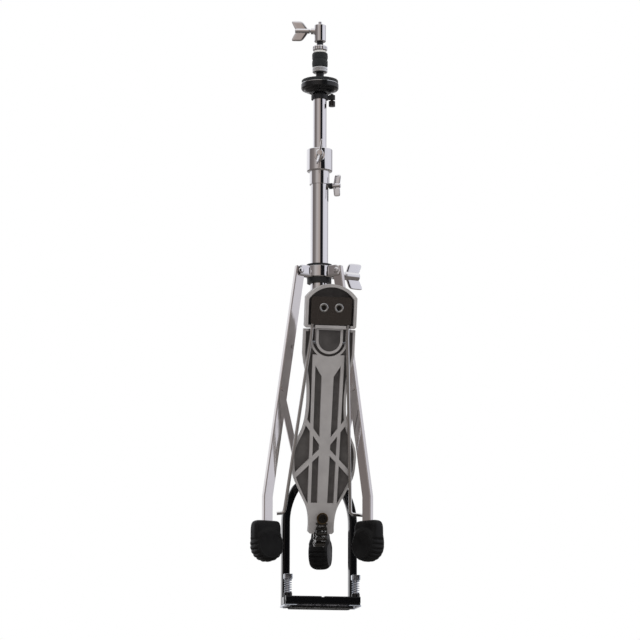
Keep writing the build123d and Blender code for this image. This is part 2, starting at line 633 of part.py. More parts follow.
def brace(name, angle):
    """Flat brace beside the leg, with its own half of the rivet."""
    plane = radial_plane(angle)
    side = BRACE_SIDE[name]
    near = LEG_WIDTH / 2 + 0.6
    faces = sorted((side * near, side * (near + BRACE_THICK)))
    top = (leg_line(BRACE_TOP_Z), BRACE_TOP_Z)
    body = strip(plane, BRACE_FOOT, top, BRACE_WIDTH / 2, *faces)
    body -= cross_bar_in(plane, BRACE_FOOT, RIVET_R + RUN, -20, 20)
    head = sorted((side * (near + BRACE_THICK), side * (near + BRACE_THICK + RIVET_HEAD)))
    rivet = cross_bar_in(plane, top, 4.6, *head) + cross_bar_in(plane, top, RIVET_R, *faces)
    return [body - cross_bar_in(plane, top, RIVET_R, -20, 20), rivet]


def leg_hub():
    """Sliding hub: nylon-bushed casting with a lug for each leg and a clamp screw boss."""
    body = chamfer(post(HUB_R, *HUB_Z).edges(), 1.2)
    pins = []
    for angle in LEG_ANGLES.values():
        plane = radial_plane(angle)
        half = LUG_THICK / 2
        body += strip(plane, (16, HUB_PIVOT[1]), HUB_PIVOT, 5.4, -half, half)
        body -= cross_bar_in(plane, HUB_PIVOT, RIVET_R, -20, 20)
        pin = cross_bar_in(plane, HUB_PIVOT, RIVET_R, -6.4, 6.4)
        for low in (-LEG_WIDTH / 2 - GAP - RIVET_HEAD, LEG_WIDTH / 2 + GAP):
            pin += cross_bar_in(plane, HUB_PIVOT, 4.4, low, low + RIVET_HEAD)
        pins.append(pin)
    face = outward(HUB_WING_ANGLE, HUB_PIVOT[1])
    body += face * (Pos(0, 0, 15) * Cylinder(7.8, 22, align=BASE))
    hole = face * (Pos(0, 0, 5) * Cylinder(HUB_SCREW_R + RUN, 40, align=BASE))
    bore = BASE_TUBE_R + RUN
    low, high = HUB_Z
    body -= post(HUB_BUSH_R, low - 30, high + 11)
    body -= hole
    bush = ring(HUB_BUSH_R, bore, low, high)
    bush += ring(HUB_R - 1, bore, high, high + 3) + ring(HUB_R - 1.9, bore, low - 8.5, low)
    bush -= hole
    save("leg_hub", body)
    save("hub_bush", bush)
    save("leg_hub_pins", *pins)


def lower_hub():
    """Hub that turns round the tube's foot and carries the braces."""
    body = chamfer(post(LOWER_HUB_R, *LOWER_HUB_Z).edges(), 1.2)
    pins = []
    near = LEG_WIDTH / 2 + 0.6
    for name, angle in LEG_ANGLES.items():
        plane = radial_plane(angle)
        side = BRACE_SIDE[name]
        faces = sorted((side * 0.6, side * (near - GAP)))
        body += strip(plane, (14.8, BRACE_FOOT[1]), BRACE_FOOT, 5.0, *faces)
        body -= cross_bar_in(plane, BRACE_FOOT, RIVET_R, -20, 20)
        shank = sorted((side * 0.6, side * (near + BRACE_THICK + GAP)))
        pin = cross_bar_in(plane, BRACE_FOOT, RIVET_R, *shank)
        head = near + BRACE_THICK + GAP
        faces = sorted((side * head, side * (head + RIVET_HEAD)))
        pin += cross_bar_in(plane, BRACE_FOOT, 4.2, *faces)
        pins.append(pin)
    bore = post(BASE_TUBE_R + RUN, LOWER_HUB_Z[0] - 12, LOWER_HUB_Z[1] + 7)
    save("lower_hub", body - bore)
    save("lower_hub_pins", *pins)


def tripod():
    """The two hubs, three legs with feet and three braces."""
    leg_hub()
    lower_hub()
    save("hub_wing_bolt", wing_bolt(HUB_WING_ANGLE, HUB_PIVOT[1], HUB_SCREW_R,
                                    BASE_TUBE_R + 0.4, (45.5, 72.0), 7.0, (54.0, 79.0), 43.0,
                                    4.0, 1.0))
    for name, angle in LEG_ANGLES.items():
        save(f"leg_{name}", *leg(name, angle))
        save(f"foot_{name}", foot(angle, FOOT_TWIST[name]))
        save(f"brace_{name}", *brace(name, angle))


# =====================================================================
# Pedal: footboard, heel plate and radius rods
# =====================================================================
HEEL_FOOT_U, HEEL_TOP_U, HEEL_HALF = 342.0, 411.0, 40.6
BOARD_EDGE = [                      # height up the board and half width
    (18.5, 17.5), (21.5, 20.6), (43, 20.8), (60, 24.5), (77, 33.0), (95, 42.0), (110, 48.0),
    (130, 50.5), (149, 50.0), (165, 44.5), (182, 37.0), (202, 32.6), (230, 31.0), (260, 33.0),
    (287, 38.5), (302, 41.0), (HEEL_FOOT_U - 2, 41.0),
]
SCREW_U = 374.0                     # screws of the rod clamp plate
TONGUE_HALF, TONGUE_FOOT_U = 21.2, 301.5
RECESS_HALF, RECESS_FOOT_U = 26.3, 297.5
RECESS_FLOOR_W, RECESS_FLOOR_U = 0.6, 316.0    # thin floor under the tongue's end, and its limit
RECESS_WALL = 3.4
RELIEF_X = (24.5, 33.2)             # channels in the arms that the radius rods swing into
RELIEF_FOOT_U, RELIEF_W = (312.0, 318.0), (7.7, 1.3)
TOE_SOLID_U = 67.0                  # the toe is solid up to here
TOE_NOTCH = (21.0, 26.0)            # width, and how far up it reaches


def mirrored(points):
    """Close a right-hand edge, listed upwards, with its mirror image."""
    return [(x, u) for u, x in points] + [(-x, u) for u, x in reversed(points)]


def board_outline(inset):
    """Footboard's outline as a smooth edge, drawn in by an inset."""
    right = [(max(x - inset, 1), u) for u, x in BOARD_EDGE]
    right[0] = (right[0][0], right[0][1] + inset)
    right[-1] = (right[-1][0], right[-1][1] - inset)
    edge = [Line(right[0], right[1]), Spline(*right[1:-2]), Line(right[-3], right[-2]),
            Line(right[-2], right[-1])]
    left = [mirror(e, about=Plane.YZ) for e in edge]
    closing = [Line(right[0], (-right[0][0], right[0][1])),
               Line(right[-1], (-right[-1][0], right[-1][1]))]
    return make_face(edge + left + closing)


def board_rib(x0, u0, x1, u1, width):
    """A straight rib between two points of the board, as a flat face."""
    length = hypot(x1 - x0, u1 - u0)
    turn = degrees(atan2(u1 - u0, x1 - x0))
    return Pos((x0 + x1) / 2, (u0 + u1) / 2) * Rot(0, 0, turn) * Rectangle(length, width)


def board_ribs():
    """Everything that stands up from the skin: rim, centre rib, side ribs and diagonals."""
    centre = make_face(Polyline((-7.8, 60), (7.8, 60), (9.4, 231), (9.5, 266), (22, 286), (22, 300),
                                (-22, 300), (-22, 286), (-9.5, 266), (-9.4, 231), close=True))
    toe = Rectangle(120, 55).moved(Location((0, TOE_SOLID_U - 27.5, 0)))
    ribs = centre + toe
    for side in (-1, 1):
        ribs += board_rib(side * 20.6, 60, side * 22.8, 300, 5.0)
        ribs += board_rib(side * 50, 105, side * 6, 149, 7.0)
        ribs += board_rib(side * 6, 161, side * 40, 206, 7.0)
    return ribs


def round_ended(half, foot_u, top_u):
    """A straight-sided outline across the board with a half-round lower end."""
    centre_u = foot_u + half
    end = ThreePointArc((-half, centre_u), (0, foot_u), (half, centre_u))
    return make_face([end, Line((half, centre_u), (half, top_u)),
                      Line((half, top_u), (-half, top_u)), Line((-half, top_u), (-half, centre_u))])


def footboard():
    """Cast footboard: thin skin, ribs on its underside and a recess for the heel's tongue."""
    outline = board_outline(0)
    past_u = HEEL_FOOT_U + 8
    recess = round_ended(RECESS_HALF, RECESS_FOOT_U, past_u)
    through = Rectangle(2 * (TONGUE_HALF + GAP), past_u - RECESS_FLOOR_U)
    through = Pos(0, (past_u + RECESS_FLOOR_U) / 2) * through
    board = board_plane(BOARD_TOP_W) * extrude(outline - recess, BOARD_RIB_W - BOARD_TOP_W)
    board += board_plane(BOARD_TOP_W) * extrude(outline - through, RECESS_FLOOR_W - BOARD_TOP_W)
    wall = round_ended(RECESS_HALF + RECESS_WALL, RECESS_FOOT_U - RECESS_WALL, past_u)
    pockets = board_outline(3.6) - board_ribs() - wall
    board -= board_plane(BOARD_TOP_W + BOARD_SKIN) * extrude(pockets, 20)
    board -= hinge_bar(30, HINGE_PIN_R)
    relief = make_face(Polyline((RELIEF_FOOT_U[0], RELIEF_W[0]), (RELIEF_FOOT_U[1], RELIEF_W[0]),
                                (HEEL_FOOT_U + 1, RELIEF_W[1]), (HEEL_FOOT_U + 4, RELIEF_W[1]),
                                (HEEL_FOOT_U + 4, 12), (RELIEF_FOOT_U[0], 12), close=True))
    for side in (-1, 1):
        low, high = sorted((side * RELIEF_X[0], side * RELIEF_X[1]))
        board -= rod_plane(low) * extrude(relief, high - low)
    notch = RectangleRounded(TOE_NOTCH[0], 24, 4).moved(Location((0, TOE_NOTCH[1] - 12, 0)))
    board -= board_plane(BOARD_TOP_W - 1) * extrude(notch, 20)
    return board - toe_bar(TOE_BOLT_R, -5, 20)


def toe_bar(radius, low, high):
    """A round bar square to the board at the toe bolt, between two offsets from the board."""
    return bar(board_point(0, TOE_BOLT_U, low), board_point(0, TOE_BOLT_U, high), radius)


def hex_socket(x, u, w, size):
    """A hexagonal hole for a key, cut outwards from an offset above the board."""
    plane = Plane(origin=board_point(x, u, w), x_dir=(1, 0, 0), z_dir=board_plane(0).z_dir)
    return plane * extrude(RegularPolygon(size, 6), 5)


def toe_parts():
    """Socket bolt that holds the chain's end, and its bronze washer on a short spacer."""
    seat_w, head_w, top_w = 15.4, 16.8, 20.8
    bolt = toe_bar(TOE_BOLT_R, BOARD_TOP_W - 3, head_w + 0.2) + toe_bar(7.0, head_w, top_w)
    save("toe_bolt", bolt - hex_socket(0, TOE_BOLT_U, head_w + 1.2, 3.4))
    washer = toe_bar(9.2, seat_w, head_w) + toe_bar(5.0, BOARD_RIB_W, seat_w)
    save("toe_washer", washer - toe_bar(TOE_BOLT_R, 0, top_w))


def toe_chain():
    """Chain from the fold pin, round the toe and up to the toe bolt."""
    lean = (-sin(radians(LEAN)), cos(radians(LEAN)))
    radius = CHAIN_W / (1 - sin(radians(LEAN)))
    pins = walk((FOLD_Y, FOLD_Z), (FOLD_Y, FOLD_Z + radius), 1, 90 - LEAN, lean, 5)
    return chain(pins, False, False)


def hinge_bar(half_length, radius):
    """A round bar on the heel hinge's axis."""
    ends = [board_point(side * half_length, HINGE_U, HINGE_W) for side in (-1, 1)]
    return bar(*ends, radius)


def heel_plate():
    """Cast heel plate: arched pan with a hinge tongue, open on its underside."""
    shoulder = HEEL_TOP_U - 21
    outline = make_face([
        Line((-HEEL_HALF + 3, HEEL_FOOT_U), (HEEL_HALF - 3, HEEL_FOOT_U)),
        Line((HEEL_HALF - 3, HEEL_FOOT_U), (HEEL_HALF, HEEL_FOOT_U + 3)),
        Line((HEEL_HALF, HEEL_FOOT_U + 3), (HEEL_HALF, shoulder)),
        ThreePointArc((HEEL_HALF, shoulder), (0, HEEL_TOP_U), (-HEEL_HALF, shoulder)),
        Line((-HEEL_HALF, shoulder), (-HEEL_HALF, HEEL_FOOT_U + 3)),
        Line((-HEEL_HALF, HEEL_FOOT_U + 3), (-HEEL_HALF + 3, HEEL_FOOT_U)),
    ])
    inner_top = HEEL_TOP_U - 4.6
    inner = make_face([
        Line((-HEEL_HALF + 4.6, HEEL_FOOT_U + 4.6), (HEEL_HALF - 4.6, HEEL_FOOT_U + 4.6)),
        Line((HEEL_HALF - 4.6, HEEL_FOOT_U + 4.6), (HEEL_HALF - 4.6, shoulder - 3)),
        ThreePointArc((HEEL_HALF - 4.6, shoulder - 3), (0, inner_top),
                      (-HEEL_HALF + 4.6, shoulder - 3)),
        Line((-HEEL_HALF + 4.6, shoulder - 3), (-HEEL_HALF + 4.6, HEEL_FOOT_U + 4.6)),
    ])
    plate = board_plane(HEEL_TOP_W) * extrude(outline, HEEL_RIM_W - HEEL_TOP_W)
    plate -= board_plane(HEEL_TOP_W + 3) * extrude(inner, 30)
    rim = 4.0
    tongue = round_ended(TONGUE_HALF, TONGUE_FOOT_U, HEEL_FOOT_U + 2)
    hollow = round_ended(TONGUE_HALF - rim, TONGUE_FOOT_U + rim, HEEL_FOOT_U - 3)
    plate += board_plane(HEEL_TOP_W) * extrude(tongue, 8.4)
    plate -= board_plane(HINGE_W + 3.6) * extrude(hollow, 5)
    plate -= hinge_bar(50, HINGE_PIN_R + RUN)
    boss_w = ROD_W + RADIUS_ROD_R
    for x in (-CLAMP_SCREW_X, CLAMP_SCREW_X):
        boss = bar(board_point(x, SCREW_U, HEEL_TOP_W), board_point(x, SCREW_U, boss_w), 5.5)
        hole = bar(board_point(x, SCREW_U, 4), board_point(x, SCREW_U, boss_w + 1), PLATE_SCREW_R)
        plate += boss - hole
    for side in (-1, 1):
        middle = Pos(side * ROD_CHANNEL_X, ROD_CHANNEL_U)
        channel = board_plane(ROD_W) * (middle * Box(ROD_CHANNEL, 40, ROD_CHANNEL))
        channel += board_plane(HEEL_RIM_W) * (middle * Box(ROD_CHANNEL, 40, 10))
        plate -= channel
    return plate


def rod_path(side):
    """Bends of one radius rod, from its end under the clamp plate to its hook."""
    splay = {-1: (-29.5, -60.3, -72.0), 1: (28.4, 45.2, 65.0)}[side]
    return [
        (side * 24.0, 388.0), (side * 28.0, 355.0), (splay[0], 326.0),
        (splay[1], HOOK_U + 1.2), (splay[2], HOOK_U),
    ]


def radius_rod(side):
    """One radius rod: straight runs joined by tangent bends."""
    points = [board_point(x, u, ROD_W) for x, u in rod_path(side)]
    path = FilletPolyline(*points, radius=6.5)
    profile = Plane(origin=path @ 0, z_dir=path % 0) * Circle(RADIUS_ROD_R)
    return sweep(profile, path=path)


def heel_parts():
    """Heel plate, its rod clamp plate with two screws, and both radius rods."""
    save("heel_plate", heel_plate())
    clamp = RectangleRounded(*CLAMP_PLATE_SIZE, 5).moved(Location((0, CLAMP_PLATE_U, 0)))
    low_w = ROD_W + RADIUS_ROD_R
    plate = board_plane(low_w) * extrude(clamp, CLAMP_PLATE_THICK)
    face_w = low_w + CLAMP_PLATE_THICK
    screws = []
    for x in (-CLAMP_SCREW_X, CLAMP_SCREW_X):
        plate -= bar(board_point(x, SCREW_U, 0), board_point(x, SCREW_U, 30), PLATE_SCREW_R)
        screw = bar(board_point(x, SCREW_U, 5), board_point(x, SCREW_U, face_w), PLATE_SCREW_R)
        screw += bar(board_point(x, SCREW_U, face_w), board_point(x, SCREW_U, face_w + 0.6), 6.8)
        screws.append(screw - hex_socket(x, SCREW_U, 13, 2.0))
    save("rod_clamp_plate", plate)
    save("rod_clamp_screws", *screws)
    save("radius_rod_left", radius_rod(-1))
    save("radius_rod_right", radius_rod(1))


os.makedirs("parts", exist_ok=True)
save("base_tube", base_tube())
save("tube_bush", tube_bush())
save("height_clamp", height_clamp())
save("clamp_wing_bolt", wing_bolt(CLAMP_SCREW_ANGLE, CLAMP_SCREW_Z, CLAMP_SCREW_R,
                                  UPPER_TUBE_R + 0.4,
                                  (29.5, 46.0), 6.0, (42.0, 60.0), 40.0, 11.5, 1.5))
save("rod_guide", rod_guide())
save("pedal_frame", pedal_frame())
save("cross_bar", cross_bar())
save("base_plate", base_plate())
save("floor_pad", floor_pad())
save("frame_screws", *frame_screws())
spurs()
save("upper_tube", upper_tube())
save("seat_holder", *seat_holder())
seat()
save("tilt_screw", tilt_screw())
save("tension_carriage", tension_carriage())
tension_screw()
pull_rod()
clutch()
tripod()
save("footboard", footboard())
toe_parts()
save("chain_toe", *toe_chain())
save("hinge_pin", hinge_bar(30, HINGE_PIN_R))
heel_parts()
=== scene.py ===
import json
import math

import bmesh
import bpy
import numpy as np
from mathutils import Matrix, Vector


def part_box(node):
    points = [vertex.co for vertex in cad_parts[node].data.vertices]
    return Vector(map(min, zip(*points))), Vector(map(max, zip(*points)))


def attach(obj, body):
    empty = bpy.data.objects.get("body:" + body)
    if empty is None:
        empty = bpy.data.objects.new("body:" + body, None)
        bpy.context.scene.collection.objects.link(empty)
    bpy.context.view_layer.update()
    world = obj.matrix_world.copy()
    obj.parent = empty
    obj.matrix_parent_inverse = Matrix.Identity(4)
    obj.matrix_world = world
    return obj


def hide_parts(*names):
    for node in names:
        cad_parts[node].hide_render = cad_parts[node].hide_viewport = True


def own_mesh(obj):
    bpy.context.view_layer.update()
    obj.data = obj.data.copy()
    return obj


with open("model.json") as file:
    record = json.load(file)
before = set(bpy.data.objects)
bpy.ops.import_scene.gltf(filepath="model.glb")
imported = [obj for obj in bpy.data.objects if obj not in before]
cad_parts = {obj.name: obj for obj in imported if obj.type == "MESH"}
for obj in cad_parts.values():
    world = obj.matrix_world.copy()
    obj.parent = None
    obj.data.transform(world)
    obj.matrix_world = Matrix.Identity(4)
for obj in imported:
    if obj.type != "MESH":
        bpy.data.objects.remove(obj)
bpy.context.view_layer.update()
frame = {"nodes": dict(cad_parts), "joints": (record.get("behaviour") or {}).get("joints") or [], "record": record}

# ---------------------------------------------------------------------------------------------
# Tubes and pull rod. The two tubes are drawn steel with a bright chrome plate, and the rod that
# runs through them is turned steel, plated the same. Handling leaves faint smears on the plate.
# ---------------------------------------------------------------------------------------------
MM = 0.001
CHROME_COLOUR = (0.80, 0.79, 0.80, 1)
RIPPLE_DEPTH = 0.2 * MM
SMOOTH_ANGLE = math.radians(32)
FLAT_ANGLE = math.radians(0.5)
WELD = 1e-6
BODY_OF = {n: b for b, nodes in frame["record"]["behaviour"]["bodies"].items() for n in nodes}
SLOT_OF = {s["node"]: s["material_slot"] for s in frame["record"]["subparts"]}


def shader_group(name, inputs, outputs):
    """A shared effect: named inputs and outputs round an empty node tree."""
    tree = bpy.data.node_groups.new(name, "ShaderNodeTree")
    for label, kind, value in inputs:
        socket = tree.interface.new_socket(label, in_out="INPUT", socket_type=kind)
        socket.default_value = value
    for label, kind in outputs:
        tree.interface.new_socket(label, in_out="OUTPUT", socket_type=kind)
    return tree, tree.nodes.new("NodeGroupInput"), tree.nodes.new("NodeGroupOutput")


def add_node(tree, kind, links=(), sockets=(), **settings):
    """One node: settings are its own options, sockets are plain values and links feed sockets."""
    node = tree.nodes.new(kind)
    for key, value in settings.items():
        setattr(node, key, value)
    for key, value in dict(sockets).items():
        node.inputs[key].default_value = value
    for key, source in links:
        tree.links.new(source, node.inputs[key])
    return node


def smear_group():
    """Roughness that wanders between Clean and Smeared, and the height of a slight ripple.

    Roughness = Clean + (Smeared - Clean) * contrast(noise(P * Scale)), Ripple = noise(P * Wave).
    """
    tree, inlet, outlet = shader_group(
        "Handling smears",
        [("Scale", "NodeSocketFloat", 60.0), ("Wave", "NodeSocketFloat", 20.0),
         ("Clean", "NodeSocketFloat", 0.05), ("Smeared", "NodeSocketFloat", 0.15)],
        [("Roughness", "NodeSocketFloat"), ("Ripple", "NodeSocketFloat")])
    place = add_node(tree, "ShaderNodeTexCoord")
    fine = add_node(tree, "ShaderNodeTexNoise",
                    [("Vector", place.outputs["Object"]), ("Scale", inlet.outputs["Scale"])],
                    {"Detail": 6.0, "Roughness": 0.62, "Distortion": 0.6})
    spread = add_node(tree, "ShaderNodeMapRange",
                      [("Value", fine.outputs["Fac"]), ("To Min", inlet.outputs["Clean"]),
                       ("To Max", inlet.outputs["Smeared"])],
                      {"From Min": 0.40, "From Max": 0.72})
    wave = add_node(tree, "ShaderNodeTexNoise",
                    [("Vector", place.outputs["Object"]), ("Scale", inlet.outputs["Wave"])],
                    {"Detail": 1.0})
    tree.links.new(spread.outputs["Result"], outlet.inputs["Roughness"])
    tree.links.new(wave.outputs["Fac"], outlet.inputs["Ripple"])
    return tree


SMEARS = smear_group()


def new_material(name, colour, metallic=0.0, sockets=()):
    """A named material with the values of its own shader set."""
    material = bpy.data.materials.new(name)
    material.use_nodes = True
    tree = material.node_tree
    shader = tree.nodes["Principled BSDF"]
    shader.inputs["Base Color"].default_value = colour
    shader.inputs["Metallic"].default_value = metallic
    for key, value in dict(sockets).items():
        shader.inputs[key].default_value = value
    return material, tree, shader


def place_group(tree, group, values):
    """A copy of a shared effect in a material, with this material's values."""
    node = tree.nodes.new("ShaderNodeGroup")
    node.node_tree = group
    for key, value in values.items():
        node.inputs[key].default_value = value
    return node


def add_bump(tree, shader, height, strength, distance):
    """Feed a height to the shader's normal."""
    bump = add_node(tree, "ShaderNodeBump", [("Height", height)],
                    {"Strength": strength, "Distance": distance})
    tree.links.new(bump.outputs["Normal"], shader.inputs["Normal"])


def polished(name, colour, clean, smeared, scale=70.0, wave=18.0, ripple=0.05, metallic=1.0,
             sockets=()):
    """A polished finish: near mirror, with smears and a slight waviness."""
    material, tree, shader = new_material(name, colour, metallic, sockets)
    marks = place_group(tree, SMEARS, {"Scale": scale, "Wave": wave, "Clean": clean,
                                       "Smeared": smeared})
    tree.links.new(marks.outputs["Roughness"], shader.inputs["Roughness"])
    add_bump(tree, shader, marks.outputs["Ripple"], ripple, RIPPLE_DEPTH)
    return material


def finish(material, *nodes):
    """Give CAD nodes their material."""
    for node in nodes:
        mesh = frame["nodes"][node].data
        mesh.materials.clear()
        mesh.materials.append(material)


def smooth(mesh):
    """Shade a mesh smooth, but for its real edges."""
    mesh.polygons.foreach_set("use_smooth", np.ones(len(mesh.polygons), bool))
    mesh.set_sharp_from_angle(angle=SMOOTH_ANGLE)


def add_piece(name, mesh, material, body, slot, *replaced):
    """Put a finished mesh in the scene on its body, in place of the CAD nodes it stands for."""
    mesh.materials.clear()
    mesh.materials.append(material)
    piece = bpy.data.objects.new(name, mesh)
    bpy.context.scene.collection.objects.link(piece)
    if replaced:
        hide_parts(*replaced)
    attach(piece, body)
    return piece


def softened(node, material, width, segments=2):
    """A machined or cast piece with its triangles joined and each sharp edge broken by a round."""
    mesh = frame["nodes"][node].data.copy()
    mesh.name = node + "_soft"
    if "custom_normal" in mesh.attributes:
        mesh.attributes.remove(mesh.attributes["custom_normal"])
    work = bmesh.new()
    work.from_mesh(mesh)
    bmesh.ops.remove_doubles(work, verts=work.verts, dist=WELD)
    bmesh.ops.dissolve_limit(work, angle_limit=FLAT_ANGLE, verts=work.verts, edges=work.edges)
    work.to_mesh(mesh)
    work.free()
    smooth(mesh)
    piece = add_piece(node + "_piece", mesh, material, BODY_OF[node], SLOT_OF[node], node)
    rounding = piece.modifiers.new("Broken edges", "BEVEL")
    rounding.width = width
    rounding.segments = segments
    rounding.limit_method = "ANGLE"
    rounding.angle_limit = SMOOTH_ANGLE
    rounding.harden_normals = True
    return piece


CHROME = polished("chrome plate", CHROME_COLOUR, 0.03, 0.12)
TUBE_EDGE = 0.3 * MM
for node in ("base_tube", "upper_tube", "pull_rod"):
    softened(node, CHROME, TUBE_EDGE)

# ---------------------------------------------------------------------------------------------
# Hidden and half-hidden bushes. They are moulded black nylon with the dull, finely pebbled skin
# of the mould, pressed into the tubes and the sliding hub.
# ---------------------------------------------------------------------------------------------
NYLON_DARK, NYLON_LIGHT = (0.010, 0.010, 0.011, 1), (0.018, 0.018, 0.019, 1)
BUSH_EDGE = 0.5 * MM
CELL_SCALE, CELL_SHARE = 1.7, 0.4


def grain_group():
    """Height of a moulded or cast skin, and a slow mottle for its colour.

    Height = noise(P * Scale) * 0.6 + cells(P * Scale * 1.7) * 0.4, Mottle = noise(P * Patches)
    and Color = Dark + (Light - Dark) * Mottle.
    """
    tree, inlet, outlet = shader_group(
        "Moulded grain",
        [("Scale", "NodeSocketFloat", 900.0), ("Patches", "NodeSocketFloat", 30.0),
         ("Dark", "NodeSocketColor", (0, 0, 0, 1)), ("Light", "NodeSocketColor", (1, 1, 1, 1))],
        [("Height", "NodeSocketFloat"), ("Color", "NodeSocketColor"),
         ("Mottle", "NodeSocketFloat")])
    place = add_node(tree, "ShaderNodeTexCoord")
    fine = add_node(tree, "ShaderNodeTexNoise",
                    [("Vector", place.outputs["Object"]), ("Scale", inlet.outputs["Scale"])],
                    {"Detail": 3.0})
    closer = add_node(tree, "ShaderNodeMath", [(0, inlet.outputs["Scale"])], {1: CELL_SCALE},
                      operation="MULTIPLY")
    cells = add_node(tree, "ShaderNodeTexVoronoi",
                     [("Vector", place.outputs["Object"]), ("Scale", closer.outputs[0])])
    both = add_node(tree, "ShaderNodeMix",
                    [("A", fine.outputs["Fac"]), ("B", cells.outputs["Distance"])],
                    {"Factor": CELL_SHARE})
    slow = add_node(tree, "ShaderNodeTexNoise",
                    [("Vector", place.outputs["Object"]), ("Scale", inlet.outputs["Patches"])],
                    {"Detail": 5.0, "Roughness": 0.6})
    level = add_node(tree, "ShaderNodeMapRange", [("Value", slow.outputs["Fac"])],
                     {"From Min": 0.35, "From Max": 0.68})
    tint = add_node(tree, "ShaderNodeMix", [("Factor", level.outputs["Result"])],
                    data_type="RGBA")
    tree.links.new(inlet.outputs["Dark"], tint.inputs[6])
    tree.links.new(inlet.outputs["Light"], tint.inputs[7])
    tree.links.new(both.outputs[0], outlet.inputs["Height"])
    tree.links.new(tint.outputs[2], outlet.inputs["Color"])
    tree.links.new(level.outputs["Result"], outlet.inputs["Mottle"])
    return tree


GRAIN = grain_group()


def moulded(name, dark, light, rough, scale, patches, depth, metallic=0.0, sockets=()):
    """A moulded, cast or painted skin: mottled colour, uneven gloss and a fine grain."""
    material, tree, shader = new_material(name, dark, metallic, sockets)
    grain = place_group(tree, GRAIN, {"Scale": scale, "Patches": patches, "Dark": dark,
                                      "Light": light})
    tree.links.new(grain.outputs["Color"], shader.inputs["Base Color"])
    gloss = add_node(tree, "ShaderNodeMapRange", [("Value", grain.outputs["Mottle"])],
                     {"To Min": rough[0], "To Max": rough[1]})
    tree.links.new(gloss.outputs["Result"], shader.inputs["Roughness"])
    add_bump(tree, shader, grain.outputs["Height"], 0.5, depth)
    return material


NYLON = moulded("black nylon", NYLON_DARK, NYLON_LIGHT, (0.38, 0.55), 1100.0, 40.0, 0.03 * MM,
                sockets={"Specular IOR Level": 0.35})
finish(NYLON, "tube_bush", "rod_guide")
softened("hub_bush", NYLON, BUSH_EDGE)
softened("seat_holder", NYLON, BUSH_EDGE)

# ---------------------------------------------------------------------------------------------
# Height clamp. A die-cast collar on the lower tube's mouth, ground, buffed and chromed, with a
# wing bolt through its boss that pinches the upper tube.
# ---------------------------------------------------------------------------------------------
CAST_EDGE = 0.6 * MM
WING_SIDES = 28
WING_ROUND, WING_BULGE = 0.42, 0.75
EAR_ROOT, EAR_TIP = 1.15, 0.85
EAR_THICK, EAR_CUP = 1.75 * MM, 0.5 * MM
HUB_CORNER = 0.9 * MM
THREAD_PITCH, THREAD_DEPTH, THREAD_STEPS = 1.0 * MM, 0.35 * MM, 6
CORNER_SHARE = 0.45
softened("height_clamp", CHROME, CAST_EDGE, 3)


def skin(name, points, wrap_rows, wrap_columns):
    """Quads over a grid of points, shape (rows, columns, 3).

    A wrapped direction joins its last line to its first, and a line of equal points closes to a
    pole. Faces are turned outwards.
    """
    rows, columns = points.shape[:2]
    i, j = np.meshgrid(np.arange(rows if wrap_rows else rows - 1),
                       np.arange(columns if wrap_columns else columns - 1), indexing="ij")
    after_i, after_j = (i + 1) % rows, (j + 1) % columns
    corners = np.stack([i * columns + j, after_i * columns + j, after_i * columns + after_j,
                        i * columns + after_j], axis=-1).reshape(-1, 4)
    mesh = bpy.data.meshes.new(name)
    mesh.vertices.add(rows * columns)
    mesh.vertices.foreach_set("co", points.astype(np.float32).ravel())
    mesh.loops.add(corners.size)
    mesh.loops.foreach_set("vertex_index", corners.astype(np.int32).ravel())
    mesh.polygons.add(len(corners))
    mesh.polygons.foreach_set("loop_start", np.arange(len(corners), dtype=np.int32) * 4)
    mesh.update(calc_edges=True)
    work = bmesh.new()
    work.from_mesh(mesh)
    bmesh.ops.remove_doubles(work, verts=work.verts, dist=1e-7)
    bmesh.ops.recalc_face_normals(work, faces=work.faces)
    work.to_mesh(mesh)
    work.free()
    return mesh


def lathe(name, profile, origin, axis, sides=64, closed=False):
    """Turn a profile of (radius, height) round an axis: P = O + h A + r (cos t U + sin t V).

    A closed profile joins its last point to its first, as a ring with a bore does.
    """
    axis = np.array(Vector(axis).normalized())
    u = np.array(Vector(axis).orthogonal().normalized())
    v = np.cross(axis, u)
    t = np.linspace(0, 2 * np.pi, sides, endpoint=False)
    spokes = np.cos(t)[:, None] * u + np.sin(t)[:, None] * v
    profile = np.array(profile, float)
    points = (np.array(origin) + profile[None, :, 1, None] * axis
              + profile[None, :, 0, None] * spokes[:, None, :])
    return skin(name, points, True, closed)


def rounded_profile(corners, radius, steps=4):
    """Replace each inner corner of a profile by a short curve that starts radius before it.

    Each curve is B(t) = (1 - t)^2 a + 2 t (1 - t) c + t^2 b, with a and b radius from corner c,
    or CORNER_SHARE of a side from it where the side is short.
    """
    corners = np.array(corners, float)
    before = corners[:-2] - corners[1:-1]
    after = corners[2:] - corners[1:-1]
    reach_b, reach_a = np.hypot(*before.T), np.hypot(*after.T)
    share_b = np.minimum(radius, CORNER_SHARE * reach_b) / reach_b
    share_a = np.minimum(radius, CORNER_SHARE * reach_a) / reach_a
    start = corners[1:-1] + before * share_b[:, None]
    end = corners[1:-1] + after * share_a[:, None]
    t = np.linspace(0, 1, steps)[None, :, None]
    curve = ((1 - t) ** 2 * start[:, None] + 2 * t * (1 - t) * corners[1:-1, None]
             + t ** 2 * end[:, None])
    return np.vstack([corners[:1], curve.reshape(-1, 2), corners[-1:]])


def joined(name, *meshes):
    """One mesh from several."""
    work = bmesh.new()
    for mesh in meshes:
        work.from_mesh(mesh)
        bpy.data.meshes.remove(mesh)
    whole = bpy.data.meshes.new(name)
    work.to_mesh(whole)
    work.free()
    smooth(whole)
    return whole


def signed_power(value, power):
    """sgn(x) |x|^p."""
    return np.sign(value) * np.abs(value) ** power


